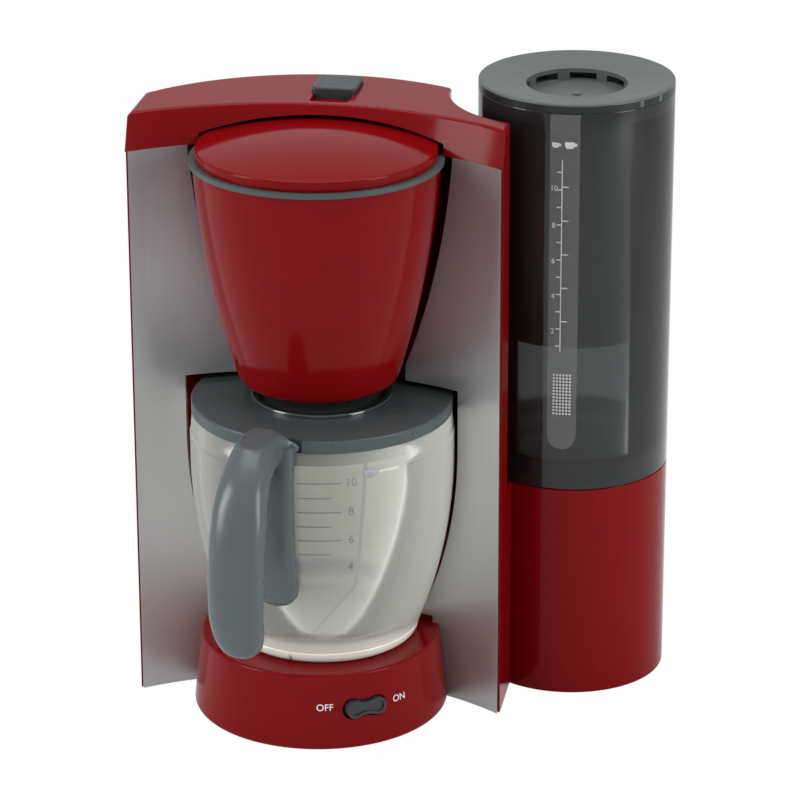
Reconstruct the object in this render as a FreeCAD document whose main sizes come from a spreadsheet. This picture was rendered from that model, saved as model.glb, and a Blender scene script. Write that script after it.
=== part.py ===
import FreeCAD, Part
import os
import re
import Sketcher

# Toy coffee maker: a hollow red body with two silver front panels, a foot with a warming
# plate, a swing-out filter cup over a clear jug, and a lift-off water tank at the right.
# Millimetres, +Z up, +Y to the back. The origin is on the floor under the jug's axis.

document = FreeCAD.newDocument("coffee_maker")
sizes = document.addObject("Spreadsheet::Sheet", "Sizes")

driving_sizes = [
    ("floor_gap", 0.5, "lower edges of the mouldings above the floor"),
    ("running_gap", 0.3, "space between pieces that move past each other"),
    ("seat_gap", 0.1, "space between a lift-off piece and its seat"),
    ("shell_wall", 2.2, "wall of the red mouldings"),
    ("body_half_width", 61.0, "middle of the body to the outside of a wing"),
    ("body_height", 189.5, "floor to the top of the body"),
    ("wing_reach", 5.2, "front corner of a wing in front of the jug's axis"),
    ("face_bow", 101.0, "radius of the hollow front face in plan"),
    ("back_bow", 75.3, "radius of the bowed back in plan"),
    ("back_reach", 54.9, "jug's axis to the middle of the back"),
    ("panel_thick", 1.2, "sheet of a front panel"),
    ("panel_margin", 0.8, "strip of red left beside a front panel"),
    ("niche_gap", 2.3, "space between the jug and its niche"),
    ("cup_gap", 2.3, "space between the filter cup and its niche"),
    ("foot_radius", 42.2, "round foot at the floor"),
    ("foot_top_radius", 39.6, "round foot at its top"),
    ("foot_height", 26.2, "floor to the top of the foot"),
    ("foot_edge", 1.5, "rounded edge of the foot"),
    ("plate_radius", 27.0, "warming plate"),
    ("plate_thick", 1.0, "warming plate"),
    ("cap_height", 11.5, "top cap, edge to edge"),
    ("cap_lean", 4.3, "front of the cap leans back by this"),
    ("cap_edge", 1.4, "rounded upper edge of the cap"),
    ("lid_space", 1.6, "space over the filter lid under the cap"),
    ("cup_axis_back", 1.9, "filter cup's axis behind the jug's axis"),
    ("cup_over_lid", 4.1, "underside of the filter cup above the jug lid"),
    ("cup_bottom_radius", 20.5, "flat underside of the filter cup"),
    ("cup_round_radius", 26.3, "filter cup where its rounded bottom ends"),
    ("cup_round_height", 3.0, "height of the rounded bottom"),
    ("cup_round_bow", 6.4, "rounding between the cup's side and bottom"),
    ("cup_top_radius", 39.8, "filter cup under its ring"),
    ("cup_bow", 300.0, "bulge of the filter cup's side"),
    ("cup_wall", 1.8, "wall of the filter cup"),
    ("outlet_radius", 5.4, "drip hole in the filter cup"),
    ("ring_height", 1.5, "grey ring on the filter cup"),
    ("ring_radius", 40.9, "grey ring on the filter cup"),
    ("ring_ledge_radius", 36.6, "ledge inside the ring that carries the basket"),
    ("ring_ledge", 1.2, "width of that ledge"),
    ("ring_under_cap", 0.3, "top of the ring below the top of the body"),
    ("filter_lid_radius", 38.8, "domed filter lid"),
    ("filter_lid_edge", 3.4, "height of the filter lid's edge"),
    ("filter_lid_rise", 4.4, "dome of the filter lid over its edge"),
    ("filter_lid_wall", 1.8, "shell of the filter lid"),
    ("basket_wall", 1.2, "wall of the filter basket"),
    ("basket_bottom_radius", 15.0, "bottom of the filter basket"),
    ("basket_lift", 8.0, "filter basket above the inside of the cup's bottom"),
    ("hinge_side", 45.0, "swing hinge to the left of the jug's axis"),
    ("hinge_behind_face", 3.277, "swing hinge behind the hollow front face"),
    ("hinge_pin_radius", 0.9, "swing hinge pin"),
    ("hinge_fit", 0.06, "running space round the hinge pin"),
    ("hinge_ear_radius", 2.0, "ear on the ring, round the pin"),
    ("hinge_ear_thick", 1.5, "ear on the ring"),
    ("hinge_ear_half", 1.2, "half the width of the ear where it leaves the hinge"),
    ("hinge_ear_lean", 38.0, "direction of the ear from the hinge, degrees from +X"),
    ("hinge_ear_root", 0.5, "ear's root outside the filter lid"),
    ("hinge_ear_from", 160.0, "where the ear's root starts round the ring, degrees"),
    ("hinge_ear_to", 166.0, "where the ear's root ends round the ring, degrees"),
    ("hinge_swing", 22.0, "swing of the filter cup with the jug in its place, degrees"),
    ("hinge_boss_radius", 2.8, "boss that holds the pin"),
    ("hinge_boss_height", 18.0, "boss that holds the pin"),
    ("hinge_pin_rise", 3.2, "pin above the ear, into the cap"),
    ("jug_off_centre", 1.3, "jug as it stands, to the right of the body's middle"),
    ("jug_bottom_radius", 29.3, "underside of the jug"),
    ("jug_round_radius", 31.3, "jug where its rounded bottom ends"),
    ("jug_round_height", 2.4, "height of the jug's rounded bottom"),
    ("jug_round_bow", 3.2, "rounding between the jug's side and bottom"),
    ("jug_shoulder_radius", 43.2, "jug at its widest"),
    ("jug_shoulder_height", 64.0, "underside of the jug to its widest"),
    ("jug_rim_height", 78.4, "underside of the jug to its rim"),
    ("jug_rim_radius", 42.3, "outside of the jug's rim"),
    ("jug_rim_step", 4.4, "height of the sloping shoulder under the rim"),
    ("jug_bow", 159.0, "bulge of the jug's side"),
    ("jug_wall", 1.6, "wall of the jug"),
    ("jug_lid_radius", 42.6, "jug lid"),
    ("jug_lid_thick", 4.2, "edge of the jug lid"),
    ("jug_lid_plate", 2.0, "flat of the jug lid"),
    ("jug_lid_skirt", 5.0, "skirt of the lid inside the jug"),
    ("jug_lid_edge", 0.6, "rounded edge of the jug lid"),
    ("head_notch_wide", 19.4, "notch in the lid for the head of the handle"),
    ("head_notch_start", 40.2, "jug's axis to that notch"),
    ("skirt_wall", 2.2, "wall of the lid's skirt"),
    ("collar_radius", 23.2, "glossy collar on the jug lid"),
    ("collar_wide", 2.6, "width of the collar"),
    ("collar_rise", 1.5, "collar above the jug lid"),
    ("lid_hole_radius", 4.0, "drip hole in the jug lid"),
    ("handle_turn", 11.0, "jug handle to the left of straight ahead, degrees"),
    ("handle_wide", 16.0, "jug handle across"),
    ("leg_thick", 4.6, "leg of the handle on the jug's wall"),
    ("leg_bottom", 50.5, "floor to the rounded end of the leg"),
    ("grip_reach", 74.0, "jug's axis to the middle of the grip"),
    ("grip_thick", 11.5, "grip front to back"),
    ("grip_wide", 18.0, "grip across"),
    ("grip_bottom", 51.3, "floor to the grip's lower end"),
    ("grip_bow", 71.0, "bulge of the grip"),
    ("grip_bend", 20.0, "bend from the lid down into the grip"),
    ("grip_lean", 20.5, "lean of the grip under that bend, degrees"),
    ("grip_head_rise", 1.6, "middle of the grip's level top above the jug's rim"),
    ("grip_start", 40.6, "jug's axis to the inner end of the grip's head"),
    ("grip_side_bow", 4.2, "small radius at the sides of the grip's oval"),
    ("grip_end_round", 3.5, "rounded lower end of the grip"),
    ("tank_side", 77.5, "tank's axis to the right of the jug's axis"),
    ("tank_back", 46.9, "tank's axis behind the jug's axis"),
    ("tank_radius", 32.0, "outside of the tank"),
    ("tank_scoop", 41.0, "hollow in the body round the tank"),
    ("neck_angle", 150.0, "where the neck leaves the tank's back, degrees from +X"),
    ("tank_screw_ring", 26.8, "screws under the tank from the tank's axis"),
    ("tank_screw_angle", 60.0, "screws under the tank, degrees from +X"),
    ("tank_base_height", 74.0, "floor to the seam under the tank"),
    ("tank_height", 129.0, "tank without its lid"),
    ("tank_wall", 2.0, "wall of the tank"),
    ("tank_floor", 9.0, "underside of the tank to its inner floor"),
    ("tank_floor_plate", 3.0, "plate of the tank's floor"),
    ("spigot_radius", 26.0, "round rib on the tank base that centres the tank"),
    ("spigot_rise", 4.0, "height of that rib"),
    ("vessel_radius", 28.4, "dark inner vessel"),
    ("vessel_wall", 1.4, "dark inner vessel"),
    ("vessel_drop", 81.0, "top of the tank to the bottom of the inner vessel"),
    ("tank_lid_thick", 3.0, "rim of the tank lid"),
    ("tank_lid_plate", 1.4, "flat of the tank lid"),
    ("tank_lid_dish", 2.0, "tank lid lower in the middle than at its rim"),
    ("tank_lid_edge", 0.8, "rounded edge of the tank lid"),
    ("tank_lid_skirt", 8.0, "skirt of the tank lid inside the tank"),
    ("well_radius", 16.5, "round well in the tank lid"),
    ("well_deep", 6.0, "depth of that well"),
    ("well_wall", 1.6, "wall and floor of the well"),
    ("well_windows", 8, "openings round the wall of the well"),
    ("window_sill", 0.4, "floor of the well to the openings"),
    ("well_mark_radius", 1.5, "small round mark in the middle of the well"),
    ("well_mark_rise", 0.5, "height of that mark"),
    ("window_wide", 9.0, "opening in the wall of the well"),
    ("button_wide", 14.4, "release button, left to right"),
    ("button_long", 15.6, "release button, front to back"),
    ("button_back", 38.6, "middle of the button behind the jug's axis"),
    ("button_rise", 2.2, "button above the cap"),
    ("button_thick", 4.0, "button from its underside to its top"),
    ("button_travel", 1.3, "press of the button"),
    ("button_round", 1.6, "corners of the button"),
    ("finger_well", 7.0, "hollow in front of the button"),
    ("finger_well_deep", 1.6, "depth of that hollow"),
    ("spring_radius", 2.4, "button spring as a sleeve, middle of its wall"),
    ("spring_wire", 0.5, "wall of the button spring"),
    ("spring_hole", 3.2, "radius of the hollow in the button for its spring"),
    ("switch_turn", 31.5, "switch to the right of straight ahead, degrees"),
    ("switch_up", 14.2, "floor to the middle of the switch"),
    ("switch_end", 3.0, "radius of a round end of the rocker"),
    ("switch_span", 4.0, "middle of the rocker to the middle of an end"),
    ("switch_waist", 7.0, "radius of the rocker's drawn-in waist"),
    ("switch_gap", 0.6, "space round the rocker"),
    ("switch_reach", 41.7, "jug's axis to the front of the rocker"),
    ("switch_thick", 7.6, "rocker from back to front"),
    ("switch_pivot", 35.7, "jug's axis to the rocker's pin"),
    ("switch_lean", 3.5, "lean of the rocker as it is left, degrees"),
    ("switch_dish", 0.6, "hollow in the face of the rocker"),
    ("switch_rim", 0.9, "rim round that hollow"),
    ("switch_pin_radius", 0.8, "rocker's pin"),
    ("cradle_wide", 19.0, "cradle behind the switch, across"),
    ("cradle_tall", 12.0, "cradle behind the switch, up and down"),
    ("cradle_front", 0.9, "pin to the front of the cradle"),
    ("cradle_deep", 3.0, "cradle behind the switch, back to front"),
    ("cover_lift", 1.4, "floor to the underside of the bottom covers"),
    ("cover_thick", 1.8, "bottom covers"),
    ("boss_radius", 3.2, "screw bosses inside the mouldings"),
    ("boss_height", 18.0, "floor to the top of a screw boss"),
    ("left_screw_back", 15.0, "screw in the left wing behind the jug's axis"),
    ("right_screw_back", 6.2, "screw in the right wing behind the jug's axis"),
    ("middle_screw_side", 6.4, "screw at the back to the left of the jug's axis"),
    ("screw_radius", 1.3, "shank of a cover screw"),
    ("screw_long", 9.0, "shank of a cover screw"),
    ("screw_head_radius", 2.6, "head of a cover screw"),
    ("screw_head_thick", 0.7, "head of a cover screw"),
    ("foot_screw_ring", 35.2, "screws in the foot from the jug's axis"),
    ("foot_screw_left", -120.0, "left screw in the foot, degrees from +X"),
    ("foot_screw_right", -20.0, "right screw in the foot, degrees from +X"),
    ("rubber_radius", 4.0, "rubber foot"),
    ("rubber_front", 26.0, "front rubber feet ahead of the jug's axis"),
]
for row, (name, value, note) in enumerate(driving_sizes, start=1):
    sizes.set(f"A{row}", name)
    sizes.set(f"B{row}", str(value))
    sizes.setAlias(f"B{row}", name)
    sizes.set(f"C{row}", note)
size_names = {name for name, value, note in driving_sizes}
document.recompute()


def spelled(formula):
    """The formula with the sheet's name before each size."""
    return re.sub(r"[a-z_]+", lambda found: f"Sizes.{found[0]}" if found[0] in size_names else found[0], formula)


def number(formula):
    """What a formula gives with the present sizes."""
    return float(sizes.evalExpression(formula))


def add_size(name, formula):
    """A size worked out from others, kept in the sheet as a formula."""
    row = len(size_names) + 1
    sizes.set(f"A{row}", name)
    sizes.set(f"B{row}", "=" + formula)
    sizes.setAlias(f"B{row}", name)
    size_names.add(name)
    document.recompute()


def new_body(name, at=("0", "0", "0"), turn="0"):
    """An empty body with its own label, place and turn about the upright axis."""
    body = document.addObject("PartDesign::Body", name)
    body.Label = name
    for axis, formula in zip("xyz", at):
        body.setExpression(f"Placement.Base.{axis}", spelled(formula))
    body.Placement.Rotation = FreeCAD.Rotation(FreeCAD.Vector(0, 0, 1), number(turn))
    if turn != "0":
        body.setExpression("Placement.Rotation.Angle", spelled(turn))
    return body


def new_sketch(body, plane, lift="0", turn="0"):
    """A sketch on one of the body's origin planes, lifted off it along its normal."""
    sketch = body.newObject("Sketcher::SketchObject", body.Name + "_sketch")
    origin_plane = [part for part in body.Origin.OriginFeatures if part.Role == plane][0]
    sketch.AttachmentSupport = [(origin_plane, "")]
    sketch.MapMode = "FlatFace"
    sketch.AttachmentOffset = FreeCAD.Placement(
        FreeCAD.Vector(0, 0, number(lift)), FreeCAD.Rotation(FreeCAD.Vector(0, 1, 0), number(turn)))
    if lift != "0":
        sketch.setExpression("AttachmentOffset.Base.z", spelled(lift))
    if turn != "0":
        sketch.setExpression("AttachmentOffset.Rotation.Angle", spelled(turn))
    return sketch


def hold(sketch, kind, formula, *where):
    """A constraint whose value follows a formula."""
    index = sketch.addConstraint(Sketcher.Constraint(kind, *where, number(formula)))
    label = f"held_{index}"
    sketch.renameConstraint(index, label)
    sketch.setExpression("Constraints." + label, spelled(formula))


def outline(body, plane, corners, lift="0", turn="0", closed=True):
    """An outline through the corners (across, up) or (across, up, bow), closed or open.

    A bow is the radius of the edge that leaves the corner: positive turns to the left.
    """
    sketch = new_sketch(body, plane, lift, turn)
    points = [FreeCAD.Vector(number(corner[0]), number(corner[1]), 0) for corner in corners]
    starts = []
    ends = []
    for index, corner in enumerate(corners if closed else corners[:-1]):
        here = points[index]
        there = points[(index + 1) % len(points)]
        if len(corner) == 2:
            geometry = sketch.addGeometry(Part.LineSegment(here, there))
            starts.append((geometry, 1))
            ends.append((geometry, 2))
            continue
        bow = number(corner[2])
        chord = there - here
        side = FreeCAD.Vector(-chord.y, chord.x, 0).normalize()
        reach = (bow ** 2 - chord.Length ** 2 / 4) ** 0.5
        centre = (here + there) / 2 + side * (reach if bow > 0 else -reach)
        first, last = (here, there) if bow > 0 else (there, here)
        across = FreeCAD.Vector(1, 0, 0)
        normal = FreeCAD.Vector(0, 0, 1)
        angles = []
        for point in (first, last):
            spoke = point - centre
            angle = across.getAngle(spoke)
            angles.append(angle if spoke.y >= 0 else -angle)
        circle = Part.Circle(centre, normal, abs(bow))
        geometry = sketch.addGeometry(Part.ArcOfCircle(circle, angles[0], angles[1]))
        starts.append((geometry, 1 if bow > 0 else 2))
        ends.append((geometry, 2 if bow > 0 else 1))
        hold(sketch, "Radius", corner[2].lstrip("-"), geometry)
    if closed:
        ends = ends[-1:] + ends[:-1]
    else:
        starts.append(ends[-1])
        ends = [None] + ends[:-1] + [None]
    for corner, start, end in zip(corners, starts, ends):
        if end:
            sketch.addConstraint(Sketcher.Constraint("Coincident", *end, *start))
        if corner[0] == "0":
            sketch.addConstraint(Sketcher.Constraint("PointOnObject", *start, -2))
        else:
            hold(sketch, "DistanceX", corner[0], -1, 1, *start)
        if corner[1] == "0":
            sketch.addConstraint(Sketcher.Constraint("PointOnObject", *start, -1))
        else:
            hold(sketch, "DistanceY", corner[1], -1, 1, *start)
    return sketch


def discs(body, places, radius, lift="0"):
    """Circles of one radius on the ground plane, each at its own (across, back)."""
    sketch = new_sketch(body, "XY_Plane", lift)
    for across, back in places:
        centre = FreeCAD.Vector(number(across), number(back), 0)
        circle = Part.Circle(centre, FreeCAD.Vector(0, 0, 1), number(radius))
        geometry = sketch.addGeometry(circle)
        hold(sketch, "Radius", radius, geometry)
        if across == "0":
            sketch.addConstraint(Sketcher.Constraint("PointOnObject", geometry, 3, -2))
        else:
            hold(sketch, "DistanceX", across, -1, 1, geometry, 3)
        if back == "0":
            sketch.addConstraint(Sketcher.Constraint("PointOnObject", geometry, 3, -1))
        else:
            hold(sketch, "DistanceY", back, -1, 1, geometry, 3)
    return sketch


def extrude(body, kind, sketch, length, reverse=False):
    """A pad or pocket of a sketch along its normal."""
    feature = body.newObject("PartDesign::" + kind, f"{body.Name}_{kind.lower()}")
    feature.Profile = sketch
    feature.setExpression("Length", spelled(length))
    feature.Reversed = reverse
    document.recompute()
    return feature


def spin(body, kind, sketch):
    """A revolution or groove of a sketch about the body's upright axis."""
    feature = body.newObject("PartDesign::" + kind, f"{body.Name}_{kind.lower()}")
    feature.Profile = sketch
    feature.ReferenceAxis = (sketch, ["V_Axis"])
    feature.Angle = 360
    document.recompute()
    return feature


def block(low_left, high_right):
    """The four corners of a rectangle."""
    return [low_left, (high_right[0], low_left[1]), high_right, (low_left[0], high_right[1])]


def combine(kind, name, first, second):
    """A boolean of two shapes, with its own label."""
    result = document.addObject("Part::" + kind, name)
    result.Label = name
    if kind == "MultiFuse":
        result.Shapes = [first] + list(second)
    else:
        result.Base = first
        result.Tool = second
    document.recompute()
    return result


def soften(body, radius, wanted):
    """A fillet on those edges of the body's tip that the test picks."""
    tip = body.Tip
    edges = [f"Edge{index}" for index, edge in enumerate(tip.Shape.Edges, start=1) if wanted(edge)]
    fillet = body.newObject("PartDesign::Fillet", body.Name + "_fillet")
    fillet.Base = (tip, edges)
    fillet.setExpression("Radius", spelled(radius))
    document.recompute()
    return fillet


def level(edge, height):
    """True for an edge that lies wholly at a height."""
    box = edge.BoundBox
    return abs(box.ZMin - height) < 0.01 and abs(box.ZMax - height) < 0.01


# Sizes that follow from the driving ones
add_size("face_centre", "wing_reach + sqrt(face_bow^2 - body_half_width^2)")
add_size("back_centre", "back_reach - back_bow")
add_size("seat_height", "foot_height")
add_size("jug_stand", "seat_height + seat_gap")
add_size("lid_top", "jug_stand + jug_rim_height + jug_lid_thick")
add_size("cup_bottom", "lid_top + cup_over_lid")
add_size("grip_head", "jug_stand + jug_rim_height + grip_head_rise")
add_size("hinge_back", "sqrt(face_bow^2 - hinge_side^2) - face_centre + hinge_behind_face")
add_size("niche_top", "lid_top + collar_rise + running_gap")
add_size("cap_top", "body_height + cap_height")
add_size("ring_top", "body_height - ring_under_cap")
add_size("tank_top", "tank_base_height + seat_gap + tank_height")

# The plan of the body: a hollow front, straight sides, a bowed back and a scoop for the tank


def body_plan(inset):
    """The outline of the body in plan, drawn in from its outside by an amount."""
    side = f"body_half_width - {inset}"
    front_bow = f"face_bow + panel_thick + {inset}"
    scoop = f"tank_scoop + {inset}"
    back = f"back_bow - {inset}"
    front = f"sqrt(({front_bow})^2 - ({side})^2) - face_centre"
    scoop_start = f"tank_back - sqrt(({scoop})^2 - (tank_side - ({side}))^2)"
    rise = "(tank_back - back_centre)"
    span = f"sqrt(tank_side^2 + {rise}^2)"
    along = f"((({back})^2 - ({scoop})^2 + ({span})^2) / (2 * {span}))"
    away = f"sqrt(({back})^2 - {along}^2)"
    meet_across = f"({along} * tank_side - {away} * {rise}) / {span}"
    meet_back = f"back_centre + ({along} * {rise} + {away} * tank_side) / {span}"
    left_back = f"back_centre + sqrt(({back})^2 - ({side})^2)"
    return [
        (f"-({side})", front, f"-({front_bow})"),
        (side, front),
        (side, scoop_start, f"-({scoop})"),
        (meet_across, meet_back, back),
        (f"-({side})", left_back),
    ]


def jug_niche(gap):
    """The space round the jug, as a profile from its axis outwards."""
    return [
        ("0", "seat_height"),
        (f"jug_round_radius + {gap}", "seat_height"),
        (f"jug_round_radius + {gap}", "seat_height + jug_round_height", f"jug_bow + {gap}"),
        (f"jug_shoulder_radius + {gap}", "seat_height + jug_shoulder_height"),
        (f"jug_shoulder_radius + {gap}", "niche_top"),
        ("0", "niche_top"),
    ]


def cup_niche(gap, top):
    """The space round the filter cup, as a profile from its axis outwards."""
    return [
        ("0", "niche_top - shell_wall"),
        (f"cup_round_radius + {gap}", "niche_top - shell_wall"),
        (f"cup_round_radius + {gap}", "cup_bottom + cup_round_height", f"cup_bow + {gap}"),
        (f"ring_radius + {gap}", "ring_top - ring_height"),
        (f"ring_radius + {gap}", top),
        ("0", top),
    ]


# Body: a hollow moulding open at its foot, with the niches for the jug and the filter cup
block_body = new_body("body_block")
extrude(block_body, "Pad", outline(block_body, "XY_Plane", body_plan("0"), "floor_gap"), "body_height - floor_gap")
hollow_body = new_body("body_hollow")
hollow_sketch = outline(hollow_body, "XY_Plane", body_plan("shell_wall"), "floor_gap")
extrude(hollow_body, "Pad", hollow_sketch, "body_height - floor_gap - shell_wall")
jug_liner = new_body("jug_liner")
liner_profile = jug_niche("niche_gap + shell_wall")
liner_profile[0] = ("0", "seat_height - shell_wall")
liner_profile[1] = ("jug_round_radius + niche_gap + shell_wall", "seat_height - shell_wall")
liner_profile[4] = ("jug_shoulder_radius + niche_gap + shell_wall", "niche_top + shell_wall")
liner_profile[5] = ("0", "niche_top + shell_wall")
spin(jug_liner, "Revolution", outline(jug_liner, "XZ_Plane", liner_profile))
cup_liner = new_body("cup_liner", at=("0", "cup_axis_back", "0"))
spin(cup_liner, "Revolution", outline(cup_liner, "XZ_Plane", cup_niche("cup_gap + shell_wall", "body_height")))
screw_places = [
    ("shell_wall + boss_radius - body_half_width", "left_screw_back"),
    ("body_half_width - shell_wall - boss_radius", "right_screw_back"),
    ("-middle_screw_side", "back_reach - shell_wall - boss_radius"),
]
bosses = new_body("body_bosses")
extrude(bosses, "Pad", discs(bosses, screw_places, "boss_radius + seat_gap", "cover_lift + cover_thick"),
        "boss_height - cover_lift - cover_thick")
hinge_boss = new_body("hinge_boss", at=("-hinge_side", "hinge_back", "body_height - hinge_boss_height"))
extrude(hinge_boss, "Pad", discs(hinge_boss, [("0", "0")], "hinge_boss_radius"), "hinge_boss_height")
liners = combine("MultiFuse", "body_liners", jug_liner, [cup_liner, bosses, hinge_boss])
inner_walls = combine("Common", "body_inner_walls", block_body, liners)
outer_walls = combine("Cut", "body_outer_walls", block_body, hollow_body)
walls = combine("MultiFuse", "body_walls", outer_walls, [inner_walls])
jug_space = new_body("jug_space")
spin(jug_space, "Revolution", outline(jug_space, "XZ_Plane", jug_niche("niche_gap")))
cup_space = new_body("cup_space", at=("0", "cup_axis_back", "0"))
cup_space_profile = cup_niche("cup_gap", "body_height + shell_wall")
spin(cup_space, "Revolution", outline(cup_space, "XZ_Plane", cup_space_profile))
plate_space = new_body("plate_space", at=("0", "0", "seat_height - plate_thick"))
extrude(plate_space, "Pad", discs(plate_space, [("0", "0")], "plate_radius + seat_gap"), "plate_thick * 2")
screw_holes = new_body("screw_holes")
extrude(screw_holes, "Pad", discs(screw_holes, screw_places, "screw_radius"), "boss_height - shell_wall")
pin_hole = new_body("pin_hole", at=("-hinge_side", "hinge_back", "body_height - hinge_boss_height + shell_wall"))
extrude(pin_hole, "Pad", discs(pin_hole, [("0", "0")], "hinge_pin_radius"), "hinge_boss_height")
body_spaces = combine("MultiFuse", "body_spaces", jug_space, [cup_space, plate_space, screw_holes, pin_hole])
housing_shell = combine("Cut", "housing_shell", walls, body_spaces)

# Front panels: thin silver sheets on the hollow front face, cut out round the jug and the cup
foot_space = new_body("foot_space")
extrude(foot_space, "Pad", discs(foot_space, [("0", "0")], "foot_top_radius - shell_wall"), "seat_height + niche_gap")
panel_spaces = combine("MultiFuse", "panel_spaces", jug_space, [cup_space, foot_space])


def front_panel(name, mirror):
    """One silver panel, from the outer edge of its wing to past the niche's edge."""
    outer = "(body_half_width - panel_margin)"
    inner = "cup_bottom_radius"
    left, right = (outer, inner) if mirror else (inner, outer)
    sign = "-" if mirror else ""

    def face(bow, across):
        return f"sqrt(({bow})^2 - {across}^2) - face_centre"

    back_bow = "face_bow + panel_thick"
    body = new_body(name + "_sheet")
    corners = [
        (sign + left, face("face_bow", left), "-face_bow"),
        (sign + right, face("face_bow", right)),
        (sign + right, face(back_bow, right), f"({back_bow})"),
        (sign + left, face(back_bow, left)),
    ]
    extrude(body, "Pad", outline(body, "XY_Plane", corners, "floor_gap"), "body_height - floor_gap")
    return combine("Cut", name, body, panel_spaces)


front_panel_left = front_panel("front_panel_left", True)
front_panel_right = front_panel("front_panel_right", False)

# Round foot: a drafted hollow moulding with the warming plate let into its top
foot_screw_places = [
    (f"foot_screw_ring * cos({angle})", f"foot_screw_ring * sin({angle})")
    for angle in ("foot_screw_left", "foot_screw_right")
]
foot_shell = new_body("foot_shell")
foot_profile = [
    ("0", "floor_gap"),
    ("foot_radius - foot_edge", "floor_gap", "foot_edge"),
    ("foot_radius", "floor_gap + foot_edge"),
    ("foot_top_radius", "foot_height - foot_edge / 2", "foot_edge"),
    ("foot_top_radius - foot_edge / 2", "foot_height"),
    ("0", "foot_height"),
]
spin(foot_shell, "Revolution", outline(foot_shell, "XZ_Plane", foot_profile))
foot_hollow = [
    ("0", "0"),
    ("foot_radius - shell_wall", "0"),
    ("foot_top_radius - shell_wall", "foot_height - shell_wall"),
    ("0", "foot_height - shell_wall"),
]
spin(foot_shell, "Groove", outline(foot_shell, "XZ_Plane", foot_hollow))
extrude(foot_shell, "Pad", discs(foot_shell, foot_screw_places, "boss_radius", "cover_lift + cover_thick"),
        "boss_height - cover_lift - cover_thick")
foot_front = new_body("foot_front", at=("0", "-face_centre", "0"))
extrude(foot_front, "Pad", discs(foot_front, [("0", "0")], "face_bow + panel_thick"), "foot_height + shell_wall")


def rocker_outline(body, grow, lift="0", turn="0", up="0"):
    """The rocker's outline: two round ends joined by a drawn-in waist."""
    end = f"(switch_end + {grow})"
    waist = f"(switch_waist - {grow})"
    reach = f"sqrt(({end} + {waist})^2 - switch_span^2)"
    across = f"(switch_span * (1 - {end} / ({end} + {waist})))"
    rise = f"({reach} * {end} / ({end} + {waist}))"
    tip = f"(switch_span + {end})"
    return outline(body, "XZ_Plane", [
        (f"-{across}", f"{up} + {rise}", end),
        (f"-{tip}", up, end),
        (f"-{across}", f"{up} - {rise}", f"-{waist}"),
        (across, f"{up} - {rise}", end),
        (tip, up, end),
        (across, f"{up} + {rise}", f"-{waist}"),
    ], lift, turn)


switch_window = new_body("switch_window", turn="switch_turn")
extrude(switch_window, "Pad", rocker_outline(switch_window, "switch_gap", "switch_pivot - switch_thick", up="switch_up"),
        "foot_radius")
foot_screw_holes = new_body("foot_screw_holes")
extrude(foot_screw_holes, "Pad", discs(foot_screw_holes, foot_screw_places, "screw_radius"), "boss_height - shell_wall")
foot_spaces = combine("MultiFuse", "foot_spaces", front_panel_left,
                      [front_panel_right, plate_space, switch_window, foot_screw_holes])
foot_part = combine("Common", "foot_part", foot_shell, foot_front)
base_foot = combine("Cut", "base_foot", foot_part, foot_spaces)

hot_plate = new_body("hot_plate", at=("0", "0", "seat_height - plate_thick"))
extrude(hot_plate, "Pad", discs(hot_plate, [("0", "0")], "plate_radius"), "plate_thick")

# Top cap: its hollow front is part of a cone that leans back, and a dome under it clears the filter lid
cap_block = new_body("cap_block")
cap_plan = body_plan("0")
cap_plan[0] = ("-body_half_width", "-wing_reach")
cap_plan[1] = ("body_half_width", "-wing_reach")
extrude(cap_block, "Pad", outline(cap_block, "XY_Plane", cap_plan, "body_height"), "cap_height")
spin(cap_block, "Groove", outline(cap_block, "XZ_Plane", [
    ("0", "body_height"),
    ("face_bow", "body_height"),
    ("face_bow + cap_lean", "cap_top"),
    ("0", "cap_top"),
], "face_centre"))
soften(cap_block, "cap_edge", lambda edge: level(edge, number("cap_top")))

lid_room = new_body("lid_room", at=("0", "cup_axis_back", "0"))
room_radius = "(filter_lid_radius + lid_space)"
room_edge = "(ring_top + filter_lid_edge + running_gap)"
room_rise = "(filter_lid_rise + lid_space - running_gap)"
room_bow = f"(({room_radius}^2 + {room_rise}^2) / (2 * {room_rise}))"
spin(lid_room, "Revolution", outline(lid_room, "XZ_Plane", [
    ("0", "body_height - shell_wall"),
    (room_radius, "body_height - shell_wall"),
    (room_radius, room_edge, room_bow),
    ("0", f"{room_edge} + {room_rise}"),
]))

# The ear of the ring swings in a fan-shaped hollow round the hinge, open to the dome
ear_lift = "(body_height + running_gap)"
ear_top = f"({ear_lift} + hinge_ear_thick)"
ear_place = ("-hinge_side", "hinge_back", "0")


def on_ring(radius, angle):
    """A place on the filter cup's ring, told from the hinge."""
    return (f"(hinge_side + {radius} * cos({angle}))", f"({radius} * sin({angle}) + cup_axis_back - hinge_back)")


def swung(place):
    """Where a place on the ear goes when the filter cup is swung right out."""
    across, back = place
    return (f"({across} * cos(hinge_swing) + {back} * sin(hinge_swing))",
            f"({back} * cos(hinge_swing) - {across} * sin(hinge_swing))")


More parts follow.
